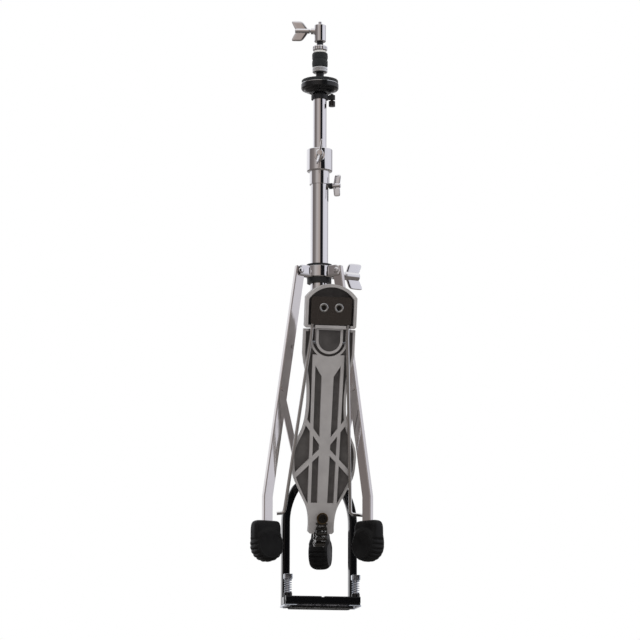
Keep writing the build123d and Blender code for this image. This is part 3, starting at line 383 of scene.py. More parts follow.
def wing(corners, thick, frame_axes, cup):
    """One ear of a wing bolt: a super-ellipsoid pulled over a four-cornered patch.

    (a, b, c) = (C(t) C(s), S(t) C(s), S(s)) with C and S the cosine and sine to the power
    WING_ROUND, or WING_BULGE for c. With v = (1 + b) / 2 from the ear's root to its tip,
    P = bilinear(corners; a, b) + N (thick (EAR_ROOT + (EAR_TIP - EAR_ROOT) v) c + cup v^2).
    """
    t = np.linspace(-np.pi, np.pi, WING_SIDES * 2, endpoint=False)[:, None]
    s = np.linspace(-np.pi / 2, np.pi / 2, WING_SIDES)[None, :]
    a = signed_power(np.cos(t), WING_ROUND) * signed_power(np.cos(s), WING_ROUND)
    b = signed_power(np.sin(t), WING_ROUND) * signed_power(np.cos(s), WING_ROUND)
    c = signed_power(np.sin(s), WING_BULGE) + 0 * t
    far_a, far_b = (1 + a) / 2, (1 + b) / 2
    near_a, near_b = (1 - a) / 2, (1 - b) / 2
    weights = (near_a * near_b, far_a * near_b, far_a * far_b, near_a * far_b)
    patch = sum(np.array(corner)[None, None] * weight[..., None]
                for corner, weight in zip(corners, weights))
    out, up, side = frame_axes
    rise = thick * (EAR_ROOT + (EAR_TIP - EAR_ROOT) * far_b) * c + cup * far_b ** 2
    return patch[..., 0, None] * out + patch[..., 1, None] * up + rise[..., None] * side


def joint_line(name):
    """A joint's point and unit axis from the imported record."""
    joint = next(j for j in frame["joints"] if j["name"] == name)
    return np.array(joint["pos_m"]), np.array(joint["axis"], float)


def wing_bolt(name, joint, tip, hub, hub_r, wing_r, span, turn, thread_r, body, node):
    """A die-cast wing bolt along a joint's axis: two ears, a hub and a cut thread.

    tip, hub and wing_r are distances from the tube's axis. The thread is a lathe profile
    r = thread_r - THREAD_DEPTH (1 + cos(2 pi h / THREAD_PITCH)) / 2.
    """
    point, out = joint_line(joint)
    origin = np.array([0, 0, point[2]])
    up = np.array([0, 0, 1.0]) * math.cos(turn) + np.cross(out, [0, 0, 1.0]) * math.sin(turn)
    side = np.cross(out, up)
    ears = []
    for sign in (1, -1):
        root, edge = sign * hub_r * 0.3, sign * span / 2
        corners = [(hub[0] + 1.5 * MM, root), (hub[1] - 1.0 * MM, root), (wing_r[1], edge),
                   (wing_r[0], edge)]
        points = origin + wing(corners, EAR_THICK, (out, up, side), EAR_CUP)
        ears.append(skin(name + "_ear", points, True, False))
    turned = rounded_profile([(0, hub[0]), (hub_r * 0.86, hub[0]), (hub_r, hub[0] + 1.4 * MM),
                              (hub_r, hub[1] - 2 * MM), (hub_r * 0.8, hub[1]), (0, hub[1])],
                             HUB_CORNER)
    barrel = lathe(name + "_hub", turned, origin, out, 48)
    h = np.arange(tip, hub[0] + THREAD_PITCH, THREAD_PITCH / THREAD_STEPS)
    cut = thread_r - THREAD_DEPTH * (1 + np.cos(2 * np.pi * h / THREAD_PITCH)) / 2
    profile = np.vstack([[(0, tip)], np.stack([cut, h], 1), [(0, h[-1])]])
    thread = lathe(name + "_thread", profile, origin, out, 32)
    return add_piece(name + "_piece", joined(name, barrel, thread, *ears), WING_PLATE, body,
                     "chrome", node)


WING_PLATE = polished("wing bolt plate", CHROME_COLOUR, 0.06, 0.16, wave=60.0, ripple=0.12)
wing_bolt("clamp_wing_bolt", "clamp_wing_turn", 11.5 * MM, (29.5 * MM, 46 * MM), 6.0 * MM,
          (42 * MM, 60 * MM), 40 * MM, math.radians(-11.5), 3.5 * MM, "clamp_wing_bolt",
          "clamp_wing_bolt")

# ---------------------------------------------------------------------------------------------
# Pedal frame and base. One aluminium casting painted gloss black holds the tube; a black cross
# bar ties its feet, a zinc-plated steel plate is screwed under it and a rubber pad glued below.
# ---------------------------------------------------------------------------------------------
BLACK_PAINT = polished("gloss black paint", (0.004, 0.004, 0.0045, 1), 0.06, 0.18, 90.0, 90.0,
                       0.03, 0.0, {"Specular IOR Level": 0.35})
ZINC = moulded("zinc plate", (0.50, 0.53, 0.58, 1), (0.66, 0.69, 0.74, 1), (0.18, 0.34), 700.0,
               120.0, 0.02 * MM, 1.0)
RUBBER = moulded("black rubber", (0.004, 0.0038, 0.0039, 1), (0.009, 0.0088, 0.0088, 1),
                 (0.42, 0.62), 1400.0, 55.0, 0.05 * MM, sockets={"Specular IOR Level": 0.15})
softened("pedal_frame", BLACK_PAINT, 0.4 * MM)
softened("cross_bar", BLACK_PAINT, 0.4 * MM)
softened("base_plate", ZINC, 0.3 * MM)
softened("floor_pad", RUBBER, 0.6 * MM)
softened("frame_screws", ZINC, 0.3 * MM)

# ---------------------------------------------------------------------------------------------
# Anchor spurs. Zinc-plated square-headed bolts with a pointed end, each held up by a spring of
# round wire between its lug and its head.
# ---------------------------------------------------------------------------------------------
SPRING_WIRE_SIDES = 12
SPRING_STEPS = 36
SPRING_WIRE_R, SPRING_TURNS, SPRING_FLAT_END = 0.85 * MM, 7, 0.7


def spring(name, centre, radius, wire, low, high, turns):
    """A compression spring with closed ends: a circle of radius wire swept along a helix.

    P(t, s) = C + R (cos t, sin t) + z(t) Z + wire (cos s N + sin s B), where z rises with t but
    is flat over the first and last SPRING_FLAT_END of a turn.
    """
    t = np.linspace(0, 2 * np.pi * turns, SPRING_STEPS * turns)
    share = t / t[-1]
    ends = SPRING_FLAT_END / turns
    climb = np.clip((share - ends) / (1 - 2 * ends), 0, 1)
    z = low + wire + climb * (high - low - 2 * wire)
    spine = np.stack([centre[0] + radius * np.cos(t), centre[1] + radius * np.sin(t), z], 1)
    along = np.gradient(spine, axis=0)
    along /= np.linalg.norm(along, axis=1)[:, None]
    out = np.stack([np.cos(t), np.sin(t), np.zeros_like(t)], 1)
    across = np.cross(along, out)
    s = np.linspace(0, 2 * np.pi, SPRING_WIRE_SIDES, endpoint=False)
    ring = (np.cos(s)[None, :, None] * out[:, None] + np.sin(s)[None, :, None] * across[:, None])
    points = spine[:, None] + wire * ring
    first, last = (np.repeat(spine[end, None], SPRING_WIRE_SIDES, 1)
                   for end in (slice(0, 1), slice(-1, None)))
    mesh = skin(name, np.concatenate([first, points, last]), False, True)
    smooth(mesh)
    return mesh


for side in ("left", "right"):
    softened(f"spur_bolt_{side}", ZINC, 0.5 * MM)
    low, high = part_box(f"spur_spring_{side}")
    centre = (low + high) / 2
    coil = spring(f"spur_spring_{side}_piece", centre, (high.x - low.x) / 2 - SPRING_WIRE_R,
                  SPRING_WIRE_R, low.z, high.z, SPRING_TURNS)
    piece = add_piece(f"spur_spring_{side}_piece", coil, ZINC, "stand_frame", "zinc_steel",
                      f"spur_spring_{side}")
    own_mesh(piece)

# ---------------------------------------------------------------------------------------------
# Return spring, collar and tension parts inside the tubes, and the wing screw that lifts them.
# The screw's washer is black nylon and stands on the tube beside its slot.
# ---------------------------------------------------------------------------------------------
finish(ZINC, "rod_collar", "return_spring", "tension_carriage")
finish(NYLON, "tension_washer")
wing_bolt("tension_wing_screw", "tension_screw_turn", 4 * MM, (21.3 * MM, 35 * MM), 4.2 * MM,
          (25 * MM, 35.5 * MM), 37 * MM, math.radians(-8), 3.0 * MM, "tension_screw",
          "tension_wing_screw")

# ---------------------------------------------------------------------------------------------
# Bottom cymbal seat. A moulded black cup rocks on two pins, with a steel washer and a thick wool
# felt on top, and a knurled screw tilts it.
# ---------------------------------------------------------------------------------------------
FELT_DARK, FELT_LIGHT = (0.010, 0.011, 0.0115, 1), (0.050, 0.052, 0.052, 1)
RIM_INSET, RIM_BULGE, FACE_INSET = 0.5 * MM, 0.9 * MM, 2.2 * MM
LUMP_HEIGHT = 0.12 * MM
SEAT_FELT_SPREAD, SEAT_FELT_BORE = 0.4 * MM, 7.6 * MM


def felt_group():
    """Colour and height of matted fibres: fine noise stretched two ways and crossed.

    Height = max(noise(P * S * (1, 1, 6)), noise(P * S * (6, 2, 1))), Color follows the height.
    """
    tree, inlet, outlet = shader_group(
        "Felt fibres",
        [("Scale", "NodeSocketFloat", 500.0), ("Dark", "NodeSocketColor", FELT_DARK),
         ("Light", "NodeSocketColor", FELT_LIGHT)],
        [("Color", "NodeSocketColor"), ("Height", "NodeSocketFloat")])
    place = add_node(tree, "ShaderNodeTexCoord")
    strands = []
    for stretch in ((1, 1, 6), (6, 2, 1)):
        turned = add_node(tree, "ShaderNodeMapping", [("Vector", place.outputs["Object"])],
                          {"Scale": stretch, "Rotation": (0.4, 0.3, 0.2)})
        strands.append(add_node(tree, "ShaderNodeTexNoise",
                                [("Vector", turned.outputs[0]), ("Scale", inlet.outputs["Scale"])],
                                {"Detail": 4.0, "Roughness": 0.7}))
    crossed = add_node(tree, "ShaderNodeMath",
                       [(0, strands[0].outputs["Fac"]), (1, strands[1].outputs["Fac"])],
                       operation="MAXIMUM")
    level = add_node(tree, "ShaderNodeMapRange", [("Value", crossed.outputs[0])],
                     {"From Min": 0.45, "From Max": 0.8})
    tint = add_node(tree, "ShaderNodeMix", [("Factor", level.outputs["Result"])],
                    data_type="RGBA")
    tree.links.new(inlet.outputs["Dark"], tint.inputs[6])
    tree.links.new(inlet.outputs["Light"], tint.inputs[7])
    tree.links.new(tint.outputs[2], outlet.inputs["Color"])
    tree.links.new(crossed.outputs[0], outlet.inputs["Height"])
    return tree


FELT, tree, shader = new_material("wool felt", FELT_DARK, 0.0,
                                  {"Roughness": 0.95, "Sheen Weight": 0.25,
                                   "Specular IOR Level": 0.1})
fibres = place_group(tree, felt_group(), {"Scale": 620.0})
tree.links.new(fibres.outputs["Color"], shader.inputs["Base Color"])
add_bump(tree, shader, fibres.outputs["Height"], 0.9, 0.5 * MM)


def felt_disc(name, low, high, outer, inner):
    """A felt washer: a lathed pad whose rim bulges and whose outer half is slightly lumpy.

    The rim is r = outer - RIM_INSET - RIM_BULGE (2 h - 1)^4, and each outer point then moves out
    by LUMP_HEIGHT (sin(7 t + 900 z) + sin(17 t - 1400 z)).
    """
    thick = high - low
    h = np.linspace(0.06, 0.94, 9)
    rim = np.stack([outer - RIM_INSET - RIM_BULGE * (2 * h - 1) ** 4, low + thick * h], 1)
    bottom = [(inner, low), (outer - FACE_INSET, low)]
    top = [(outer - FACE_INSET, high), (inner, high)]
    mesh = lathe(name, np.vstack([bottom, rim, top]), (0, 0, 0), (0, 0, 1), 96, True)
    co = np.empty(len(mesh.vertices) * 3, np.float32)
    mesh.vertices.foreach_get("co", co)
    co = co.reshape(-1, 3)
    angle = np.arctan2(co[:, 1], co[:, 0])
    radius = np.hypot(co[:, 0], co[:, 1])
    lumps = np.sin(7 * angle + 900 * co[:, 2]) + np.sin(17 * angle - 1400 * co[:, 2])
    shift = np.where(radius > (inner + outer) / 2, LUMP_HEIGHT * lumps, 0)
    co[:, 0] += shift * np.cos(angle)
    co[:, 1] += shift * np.sin(angle)
    mesh.vertices.foreach_set("co", co.ravel())
    smooth(mesh)
    return mesh


low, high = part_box("seat_felt")
seat_felt = felt_disc("seat_felt_piece", low.z, high.z, high.x + SEAT_FELT_SPREAD, SEAT_FELT_BORE)
add_piece("seat_felt_piece", seat_felt, FELT, "seat", "felt", "seat_felt")
GLOSS_PLASTIC = polished("gloss black plastic", (0.006, 0.006, 0.0065, 1), 0.16, 0.34, 120.0,
                         300.0, 0.08, 0.0, {"Specular IOR Level": 0.45})
softened("seat_cup", GLOSS_PLASTIC, 0.5 * MM)
BRIGHT_STEEL = polished("bright steel", (0.72, 0.73, 0.73, 1), 0.10, 0.24, 160.0)
softened("seat_washer", BRIGHT_STEEL, 0.2 * MM)
DARK_STEEL = polished("black oxide steel", (0.06, 0.057, 0.053, 1), 0.22, 0.42, 200.0, 90.0, 0.1)
softened("tilt_screw", DARK_STEEL, 0.25 * MM)

# ---------------------------------------------------------------------------------------------
# Clutch. A chromed body pinches the pull rod; its threaded sleeve carries two felts between a
# lock nut and a round bottom nut with a milled rim, and a white nylon washer.
# ---------------------------------------------------------------------------------------------
NUT_BORE, FELT_SPREAD, FELT_GAP = 5.3 * MM, 0.3 * MM, 0.2 * MM
COARSE_RIM, FINE_RIM = (10, 1.0 * MM), (36, 0.35 * MM)
softened("clutch_body", CHROME, 0.5 * MM, 3)
finish(NYLON, "clutch_sleeve")
WHITE_NYLON = moulded("white nylon", (0.62, 0.60, 0.56, 1), (0.74, 0.73, 0.70, 1), (0.4, 0.5),
                      900.0, 60.0, 0.02 * MM)
finish(WHITE_NYLON, "clutch_washer")


def milled_nut(name, radius, low, high, bore, ridges, depth):
    """A round nut with a milled rim and one shallow groove turned round its middle.

    On the rim only, r(t) = R - depth (1 - |cos(n t / 2)|^0.6) for n ridges.
    """
    thick = high - low
    profile = rounded_profile(
        [(bore, low), (radius - 1.6 * MM, low), (radius, low + 1.4 * MM),
         (radius, low + thick * 0.46), (radius - 0.5 * MM, low + thick * 0.48),
         (radius - 0.5 * MM, low + thick * 0.52), (radius, low + thick * 0.54),
         (radius, high - 1.2 * MM), (radius - 1.2 * MM, high), (bore, high)], 0.5 * MM, 3)
    t = np.linspace(0, 2 * np.pi, ridges * 8, endpoint=False)
    cut = depth * (1 - np.abs(np.cos(ridges * t / 2)) ** 0.6)
    rim = np.clip((profile[:, 0] - radius + 1.5 * MM) / (0.9 * MM), 0, 1)
    r = profile[None, :, 0] - cut[:, None] * rim[None]
    points = np.stack([r * np.cos(t)[:, None], r * np.sin(t)[:, None],
                       np.broadcast_to(profile[None, :, 1], r.shape)], -1)
    mesh = skin(name, points, True, True)
    smooth(mesh)
    return mesh


for node, rim, plate in (("clutch_lock_nut", COARSE_RIM, CHROME),
                         ("clutch_bottom_nut", FINE_RIM, BRIGHT_STEEL)):
    low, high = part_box(node)
    nut = milled_nut(node + "_piece", high.x, low.z, high.z, NUT_BORE, *rim)
    add_piece(node + "_piece", nut, plate, node, "chrome", node)
low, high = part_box("clutch_felts")
middle = (low.z + high.z) / 2
felts = [felt_disc("felt", *span, high.x + FELT_SPREAD, NUT_BORE)
         for span in ((low.z, middle - FELT_GAP / 2), (middle + FELT_GAP / 2, high.z))]
add_piece("clutch_felts_piece", joined("clutch_felts_piece", *felts), FELT, "clutch", "felt",
          "clutch_felts")
wing_bolt("clutch_wing_bolt", "clutch_wing_turn", 3.4 * MM, (16.5 * MM, 41 * MM), 4.2 * MM,
          (29 * MM, 47.5 * MM), 34 * MM, 0.0, 3.0 * MM, "clutch_wing_bolt", "clutch_wing_bolt")

# ---------------------------------------------------------------------------------------------
# Tripod. Two chromed die-cast hubs carry three folded-steel legs and flat braces, riveted
# together. Each leg ends in a round rubber foot with a ribbed tread, pressed on its end.
# ---------------------------------------------------------------------------------------------
LEG_PLATE = polished("leg chrome", (0.72, 0.69, 0.68, 1), 0.06, 0.17, 45.0, 14.0, 0.9)
for node in ("leg_hub", "lower_hub"):
    softened(node, CHROME, CAST_EDGE, 3)
for node in ("leg_hub_pins", "lower_hub_pins"):
    softened(node, BRIGHT_STEEL, 0.5 * MM)
wing_bolt("hub_wing_bolt", "hub_wing_turn", 14.7 * MM, (45.5 * MM, 72 * MM), 7.0 * MM,
          (54 * MM, 79 * MM), 43 * MM, math.radians(-4), 4.0 * MM, "hub_wing_bolt",
          "hub_wing_bolt")
FOOT_R, FOOT_HALF = 25.5 * MM, 15.5 * MM
BLOCK_IN, BLOCK_TOP, BLOCK_HALF = 20.8 * MM, 39.0 * MM, 12.8 * MM
TREAD_RIBS, TREAD_DEPTH = 20, 2.0 * MM
BLOCK_BLEND, BLOCK_START, CIRCLE_END = 0.12, 0.9 * FOOT_R, 0.55
TREAD_END_OUT, TREAD_END_IN = 0.5, 0.1
RIDGE_R, RIDGE_WIDE, RIDGE_RISE = 20.0 * MM, 1.1 * MM, 0.9 * MM
FOOT_CENTRE_R, FOOT_CENTRE_Z = 91 * MM, 96.5 * MM
FOOT_TWIST = {"left": 0.0, "right": math.radians(-12), "rear": math.radians(-10)}


def flat_axes(angle):
    """Level unit vectors: outwards from the tube at an angle, and a quarter turn to its right."""
    c, s = math.cos(angle), math.sin(angle)
    return np.array([c, s, 0]), np.array([s, -c, 0])


def foot(name, angle, twist):
    """A rubber foot as one closed surface round its own axis N.

    At angle t the outline is the tread's circle below and a round-cornered block above, flush
    with the circle on the outer side: R(t) = (|cos t / wide|^8 + |sin t / tall|^8)^(-1/8), less
    ribs (cos(n t / 2))^4 deep on the tread. Across the width the section is a super-ellipse,
    rho(s) = |cos s|^0.3 and w(s) = half |sin s|^0.6, with a round ridge raised on each face.
    The section narrows from FOOT_HALF to BLOCK_HALF outside BLOCK_START.
    """
    t = np.linspace(-np.pi, np.pi, 480, endpoint=False)[:, None]
    s = np.linspace(-np.pi / 2, np.pi / 2, 81)[None, :]
    side, up = np.cos(t), np.sin(t)
    wide = np.where(side > 0, FOOT_R, BLOCK_IN)
    block = (np.abs(side / wide) ** 8 + np.abs(up / BLOCK_TOP) ** 8) ** (-1 / 8)
    above = np.clip(up / BLOCK_BLEND, 0, 1)
    above = above * above * (3 - 2 * above)
    circle = np.where(up < CIRCLE_END, FOOT_R, 0)
    outline = np.maximum(FOOT_R * (1 - above) + block * above, circle)
    tread = np.where(side > 0, up < TREAD_END_OUT, up < TREAD_END_IN)
    ribs = np.cos(TREAD_RIBS * t / 2) ** 4 * tread
    rho = np.abs(np.cos(s)) ** 0.3
    radius = outline * rho - TREAD_DEPTH * ribs * np.clip((rho - 0.85) / 0.08, 0, 1)
    narrow = np.clip((radius - BLOCK_START) / (5 * MM), 0, 1)
    half = FOOT_HALF + (BLOCK_HALF - FOOT_HALF) * narrow
    ridge = RIDGE_RISE * np.exp(-((radius - RIDGE_R) / RIDGE_WIDE) ** 2)
    width = half * signed_power(np.sin(s), 0.6) + np.sign(np.sin(s)) * ridge
    out, normal = flat_axes(angle + twist)
    centre = flat_axes(angle)[0] * FOOT_CENTRE_R + np.array([0, 0, FOOT_CENTRE_Z])
    points = (centre + (radius * side)[..., None] * out
              + (radius * up)[..., None] * np.array([0, 0, 1.0]) + width[..., None] * normal)
    mesh = skin(name, points, True, False)
    smooth(mesh)
    return mesh


# a bracket's cheek as (distance from the tube's axis, height over the leg's pivot) in mm
CHEEK = [(15.0, -8.5), (30.0, -8.5), (40.0, -8.0), (42.5, -2.0), (41.0, 6.0), (36.0, 9.2),
         (26.0, 9.2), (15.0, 8.5)]
CHEEK_IN, CHEEK_OUT, CHEEK_EDGE, CHEEK_INSET = 4.9 * MM, 6.6 * MM, 0.4 * MM, 0.93
CHEEK_SMOOTHING = 3
HEAD_R, HEAD_TOP = 4.6 * MM, 9.0 * MM


def cheek(name, angle, height, low, high):
    """A flat cheek beside a leg: a rounded outline in the leg's plane, given thickness.

    Rows run round the outline and columns across it: pole, inset edge, edge, edge, inset, pole.
    """
    outline = np.array(CHEEK) * MM
    loop = np.vstack([outline, outline[:1]])
    t = np.linspace(0, len(outline), 96, endpoint=False)
    line = np.stack([np.interp(t, np.arange(len(loop)), loop[:, k]) for k in (0, 1)], 1)
    for _ in range(CHEEK_SMOOTHING):
        line = (np.roll(line, 1, 0) + 2 * line + np.roll(line, -1, 0)) / 4
    middle = line.mean(0)
    across = [(0, low), (CHEEK_INSET, low), (1, low + CHEEK_EDGE), (1, high - CHEEK_EDGE),
              (CHEEK_INSET, high), (0, high)]
    out, normal = flat_axes(angle)
    grid = middle + (line[:, None] - middle) * np.array([a for a, _ in across])[None, :, None]
    depth = np.array([w for _, w in across])[None, :, None]
    points = (grid[..., 0, None] * out + (height + grid[..., 1, None]) * np.array([0, 0, 1.0])
              + depth * normal)
    mesh = skin(name, points, True, False)
    smooth(mesh)
    return mesh


def dome(name, centre, axis, radius, low, high):
    """A domed bolt head: a lathe profile that closes over a quarter of an ellipse."""
    rise = (high - low) * 0.7
    curve = [(radius * math.cos(a), high - rise + rise * math.sin(a))
             for a in np.linspace(0, np.pi / 2, 9)]
    return lathe(name, [(0, low), (radius, low), *curve], centre, axis, 40)


for side in ("left", "right", "rear"):
    pivot, _ = joint_line(f"leg_{side}_fold")
    angle = math.atan2(pivot[1], pivot[0])
    pieces = []
    for low, high in ((-CHEEK_OUT, -CHEEK_IN), (CHEEK_IN, CHEEK_OUT)):
        pieces.append(cheek("cheek", angle, pivot[2], low, high))
        outer = np.sign(low) * flat_axes(angle)[1]
        pieces.append(dome("head", pivot, outer, HEAD_R, CHEEK_OUT, HEAD_TOP))
    add_piece(f"leg_bracket_{side}", joined(f"leg_bracket_{side}", *pieces), CHROME, "leg_hub",
              "chrome")
    softened(f"leg_{side}", LEG_PLATE, 0.5 * MM)
    softened(f"brace_{side}", LEG_PLATE, 0.4 * MM)
    add_piece(f"foot_{side}_piece", foot(f"foot_{side}_piece", angle, FOOT_TWIST[side]),
              RUBBER, f"leg_{side}", "rubber", f"foot_{side}")

# ---------------------------------------------------------------------------------------------
# Footboard. An aluminium casting, painted a satin warm silver on its rim and ribs, with the
# floors between the ribs left in a dark textured paint. The heel hinge pin is plain steel.
# ---------------------------------------------------------------------------------------------
LEAN = math.radians(13.3)
FOLD_POINT, _ = joint_line("pedal_fold")
BOARD_OUT = np.array([0, -math.cos(LEAN), -math.sin(LEAN)])
SILVER_DARK, SILVER_LIGHT = (0.345, 0.325, 0.315, 1), (0.42, 0.398, 0.385, 1)
POCKET_DARK, POCKET_LIGHT = (0.082, 0.075, 0.071, 1), (0.12, 0.11, 0.104, 1)
# the floors' depths, as distances from the pedal's fold line along BOARD_OUT
BOARD_FLOORS = ((1.2 * MM, 2.3 * MM), (0.3 * MM, 0.9 * MM))
LEVEL_BLUR = 0.1 * MM


def level_group():
    """A mask that is 1 between two levels along a direction, measured from a point.

    d = (P - Point) . Direction, Mask = step(d - Low) * step(High - d), with soft steps.
    """
    tree, inlet, outlet = shader_group(
        "Between levels",
        [("Point", "NodeSocketVector", (0, 0, 0)), ("Direction", "NodeSocketVector", (0, 0, 1)),
         ("Low", "NodeSocketFloat", 0.0), ("High", "NodeSocketFloat", 1.0)],
        [("Mask", "NodeSocketFloat")])
    place = add_node(tree, "ShaderNodeTexCoord")
    offset = add_node(tree, "ShaderNodeVectorMath",
                      [(0, place.outputs["Object"]), (1, inlet.outputs["Point"])],
                      operation="SUBTRACT")
    depth = add_node(tree, "ShaderNodeVectorMath",
                     [(0, offset.outputs[0]), (1, inlet.outputs["Direction"])],
                     operation="DOT_PRODUCT")
    steps = []
    for first, second in ((depth.outputs["Value"], inlet.outputs["Low"]),
                          (inlet.outputs["High"], depth.outputs["Value"])):
        gap = add_node(tree, "ShaderNodeMath", [(0, first), (1, second)], operation="SUBTRACT")
        steps.append(add_node(tree, "ShaderNodeMapRange", [("Value", gap.outputs[0])],
                              {"From Min": -LEVEL_BLUR, "From Max": LEVEL_BLUR}))
    mask = add_node(tree, "ShaderNodeMath",
                    [(0, steps[0].outputs["Result"]), (1, steps[1].outputs["Result"])],
                    operation="MULTIPLY")
    tree.links.new(mask.outputs[0], outlet.inputs["Mask"])
    return tree


LEVELS = level_group()


def two_tone(name, floors, pocket, pocket_light):
    """Satin silver paint, coloured darker on the floors at certain depths: the footboard's pockets take a second,
    dark paint.
    """
    material, tree, shader = new_material(name, SILVER_DARK, 0.25)
    silver = place_group(tree, GRAIN, {"Scale": 800.0, "Patches": 24.0, "Dark": SILVER_DARK,
                                       "Light": SILVER_LIGHT})
    rough = place_group(tree, GRAIN, {"Scale": 620.0, "Patches": 60.0, "Dark": pocket,
                                      "Light": pocket_light})
    masks = [place_group(tree, LEVELS, {"Point": tuple(FOLD_POINT), "Low": low, "High": high,
                                        "Direction": tuple(BOARD_OUT)}).outputs["Mask"]
             for low, high in floors]
    mask = add_node(tree, "ShaderNodeMath", [(0, masks[0]), (1, masks[1])], operation="MAXIMUM")
    floor_mask = mask.outputs[0]
    colour = add_node(tree, "ShaderNodeMix", [("Factor", floor_mask)], data_type="RGBA")
    tree.links.new(silver.outputs["Color"], colour.inputs[6])
    tree.links.new(rough.outputs["Color"], colour.inputs[7])
    tree.links.new(colour.outputs[2], shader.inputs["Base Color"])
    gloss = add_node(tree, "ShaderNodeMapRange", [("Value", floor_mask)],
                     {"To Min": 0.42, "To Max": 0.55})
    tree.links.new(gloss.outputs["Result"], shader.inputs["Roughness"])
    height = add_node(tree, "ShaderNodeMix",
                      [("Factor", floor_mask), ("A", silver.outputs["Height"]),
                       ("B", rough.outputs["Height"])])
    add_bump(tree, shader, height.outputs[0], 0.45, 0.06 * MM)
    return material


BOARD_PAINT = two_tone("footboard paint", BOARD_FLOORS, POCKET_DARK, POCKET_LIGHT)
softened("footboard", BOARD_PAINT, 0.7 * MM, 3)
finish(ZINC, "hinge_pin")

# ---------------------------------------------------------------------------------------------
# Toe bolt and drive chain. A black socket bolt with a bronze washer holds the chain's end; the
# chain is a short double-plate roller chain, black oxide plates with bright pin ends.
# ---------------------------------------------------------------------------------------------
softened("toe_bolt", DARK_STEEL, 0.5 * MM)
BRONZE = polished("bronze", (0.20, 0.145, 0.085, 1), 0.28, 0.45, 150.0)
softened("toe_washer", BRONZE, 0.4 * MM)
CHAIN_STEEL = polished("chain plates", (0.10, 0.095, 0.088, 1), 0.20, 0.40, 260.0, 150.0, 0.1)
softened("chain_clevis", CHAIN_STEEL, 0.5 * MM)
finish(CHAIN_STEEL, "chain_upper", "chain_toe")

# ---------------------------------------------------------------------------------------------
# Heel plate. A cast pan in the footboard's silver, coloured darker on the floors of its hollows, with a gloss
# black-brown steel plate that two socket screws pull down on the ends of the two bent, plated radius rods.
# ---------------------------------------------------------------------------------------------
# the depths of the heel plate's hollow floors, which are coloured darker, from the fold line along BOARD_OUT
HEEL_FLOORS = ((3.4 * MM, 4.6 * MM), (8.0 * MM, 8.7 * MM))
HEEL_DARK, HEEL_LIGHT = (0.050, 0.045, 0.043, 1), (0.075, 0.068, 0.065, 1)
HEEL_PAINT = two_tone("heel plate paint", HEEL_FLOORS, HEEL_DARK, HEEL_LIGHT)
softened("heel_plate", HEEL_PAINT, 0.8 * MM, 3)
CLAMP_GLOSS = polished("gloss black-brown plate", (0.085, 0.072, 0.064, 1), 0.16, 0.34, 60.0,
                       26.0, 0.9, 0.75, {"Specular IOR Level": 0.5})
softened("rod_clamp_plate", CLAMP_GLOSS, 0.6 * MM)
SCREW_HEIGHT, SCREW_SIDE = 374.0 * MM, 12.0 * MM
BOARD_UP = np.array([0, -math.sin(LEAN), math.cos(LEAN)])
# a clamp screw's head, and a dark steel disc set in its socket as painted shade for the socket's hole, as (radius,
# distance out) in mm
HEAD = [(0, 13.0), (2.5, 13.0), (2.5, 15.6), (7.0, 15.6), (7.2, 16.2), (6.4, 17.0), (5.0, 16.9),
        (4.3, 16.2), (4.3, 15.8), (0, 15.8)]
SOCKET_SHADE = [(0, 15.7), (3.9, 15.7), (3.9, 16.1), (2.6, 16.3), (2.4, 15.9), (0, 15.9)]
SCREW_CORNER = 0.4 * MM
# The socket disc is painted shade: a dark steel piece set where the socket's hole lies in shade.
for shape, material in ((HEAD, BRIGHT_STEEL), (SOCKET_SHADE, DARK_STEEL)):
    turned = []
    profile = rounded_profile(np.array(shape) * MM, SCREW_CORNER, 3)
    for x in (-SCREW_SIDE, SCREW_SIDE):
        origin = FOLD_POINT + BOARD_UP * SCREW_HEIGHT + np.array([x, 0, 0])
        turned.append(lathe("screw", profile, origin, BOARD_OUT, 40))
    head = shape is HEAD
    name = "rod_clamp_screws_piece" if head else "rod_clamp_socket_shade"
    add_piece(name, joined(name, *turned), material, "heel_plate",
              "zinc_steel" if head else "dark_steel", *(["rod_clamp_screws"] if head else []))
ROD_PLATE = polished("rod plate", (0.70, 0.69, 0.68, 1), 0.05, 0.14, 120.0)
for side in ("left", "right"):
    softened(f"radius_rod_{side}", ROD_PLATE, 0.4 * MM)

# ---------------------------------------------------------------------------------------------
# Floor, light and camera. A pale floor that shows only from above, a plain studio whose walls
# give the plate something to mirror, and three soft lamps.
# ---------------------------------------------------------------------------------------------
CAMERA_TARGET = Vector((0, 0, 0.464))
CAMERA_AZIMUTH, CAMERA_ELEVATION, CAMERA_DISTANCE = -10.0, -10.4, 4.4
CAMERA_LENS, CAMERA_SENSOR, CAMERA_SHIFT, CAMERA_ROLL = 154.7, 36, (0.0014, -0.0016), 0.19
FLOOR_HALF = 4.0

floor_mesh = bpy.data.meshes.new("floor")
floor_mesh.from_pydata([(-FLOOR_HALF, -FLOOR_HALF, 0), (FLOOR_HALF, -FLOOR_HALF, 0),
                        (FLOOR_HALF, FLOOR_HALF, 0), (-FLOOR_HALF, FLOOR_HALF, 0)], [],
                       [(0, 1, 2, 3)])
floor = bpy.data.objects.new("floor", floor_mesh)
bpy.context.scene.collection.objects.link(floor)
floor_material, tree, shader = new_material("pale floor", (0.86, 0.86, 0.86, 1),
                                            sockets={"Roughness": 0.7})
behind = add_node(tree, "ShaderNodeNewGeometry")
ray = add_node(tree, "ShaderNodeLightPath")
hidden = add_node(tree, "ShaderNodeMath", [(0, behind.outputs["Backfacing"]),
                                           (1, ray.outputs["Is Glossy Ray"])],
                  operation="MAXIMUM")
clear = add_node(tree, "ShaderNodeBsdfTransparent")
choose = add_node(tree, "ShaderNodeMixShader",
                  [(0, hidden.outputs[0]), (1, shader.outputs[0]), (2, clear.outputs[0])])
tree.links.new(choose.outputs[0], tree.nodes["Material Output"].inputs["Surface"])
floor_mesh.materials.append(floor_material)

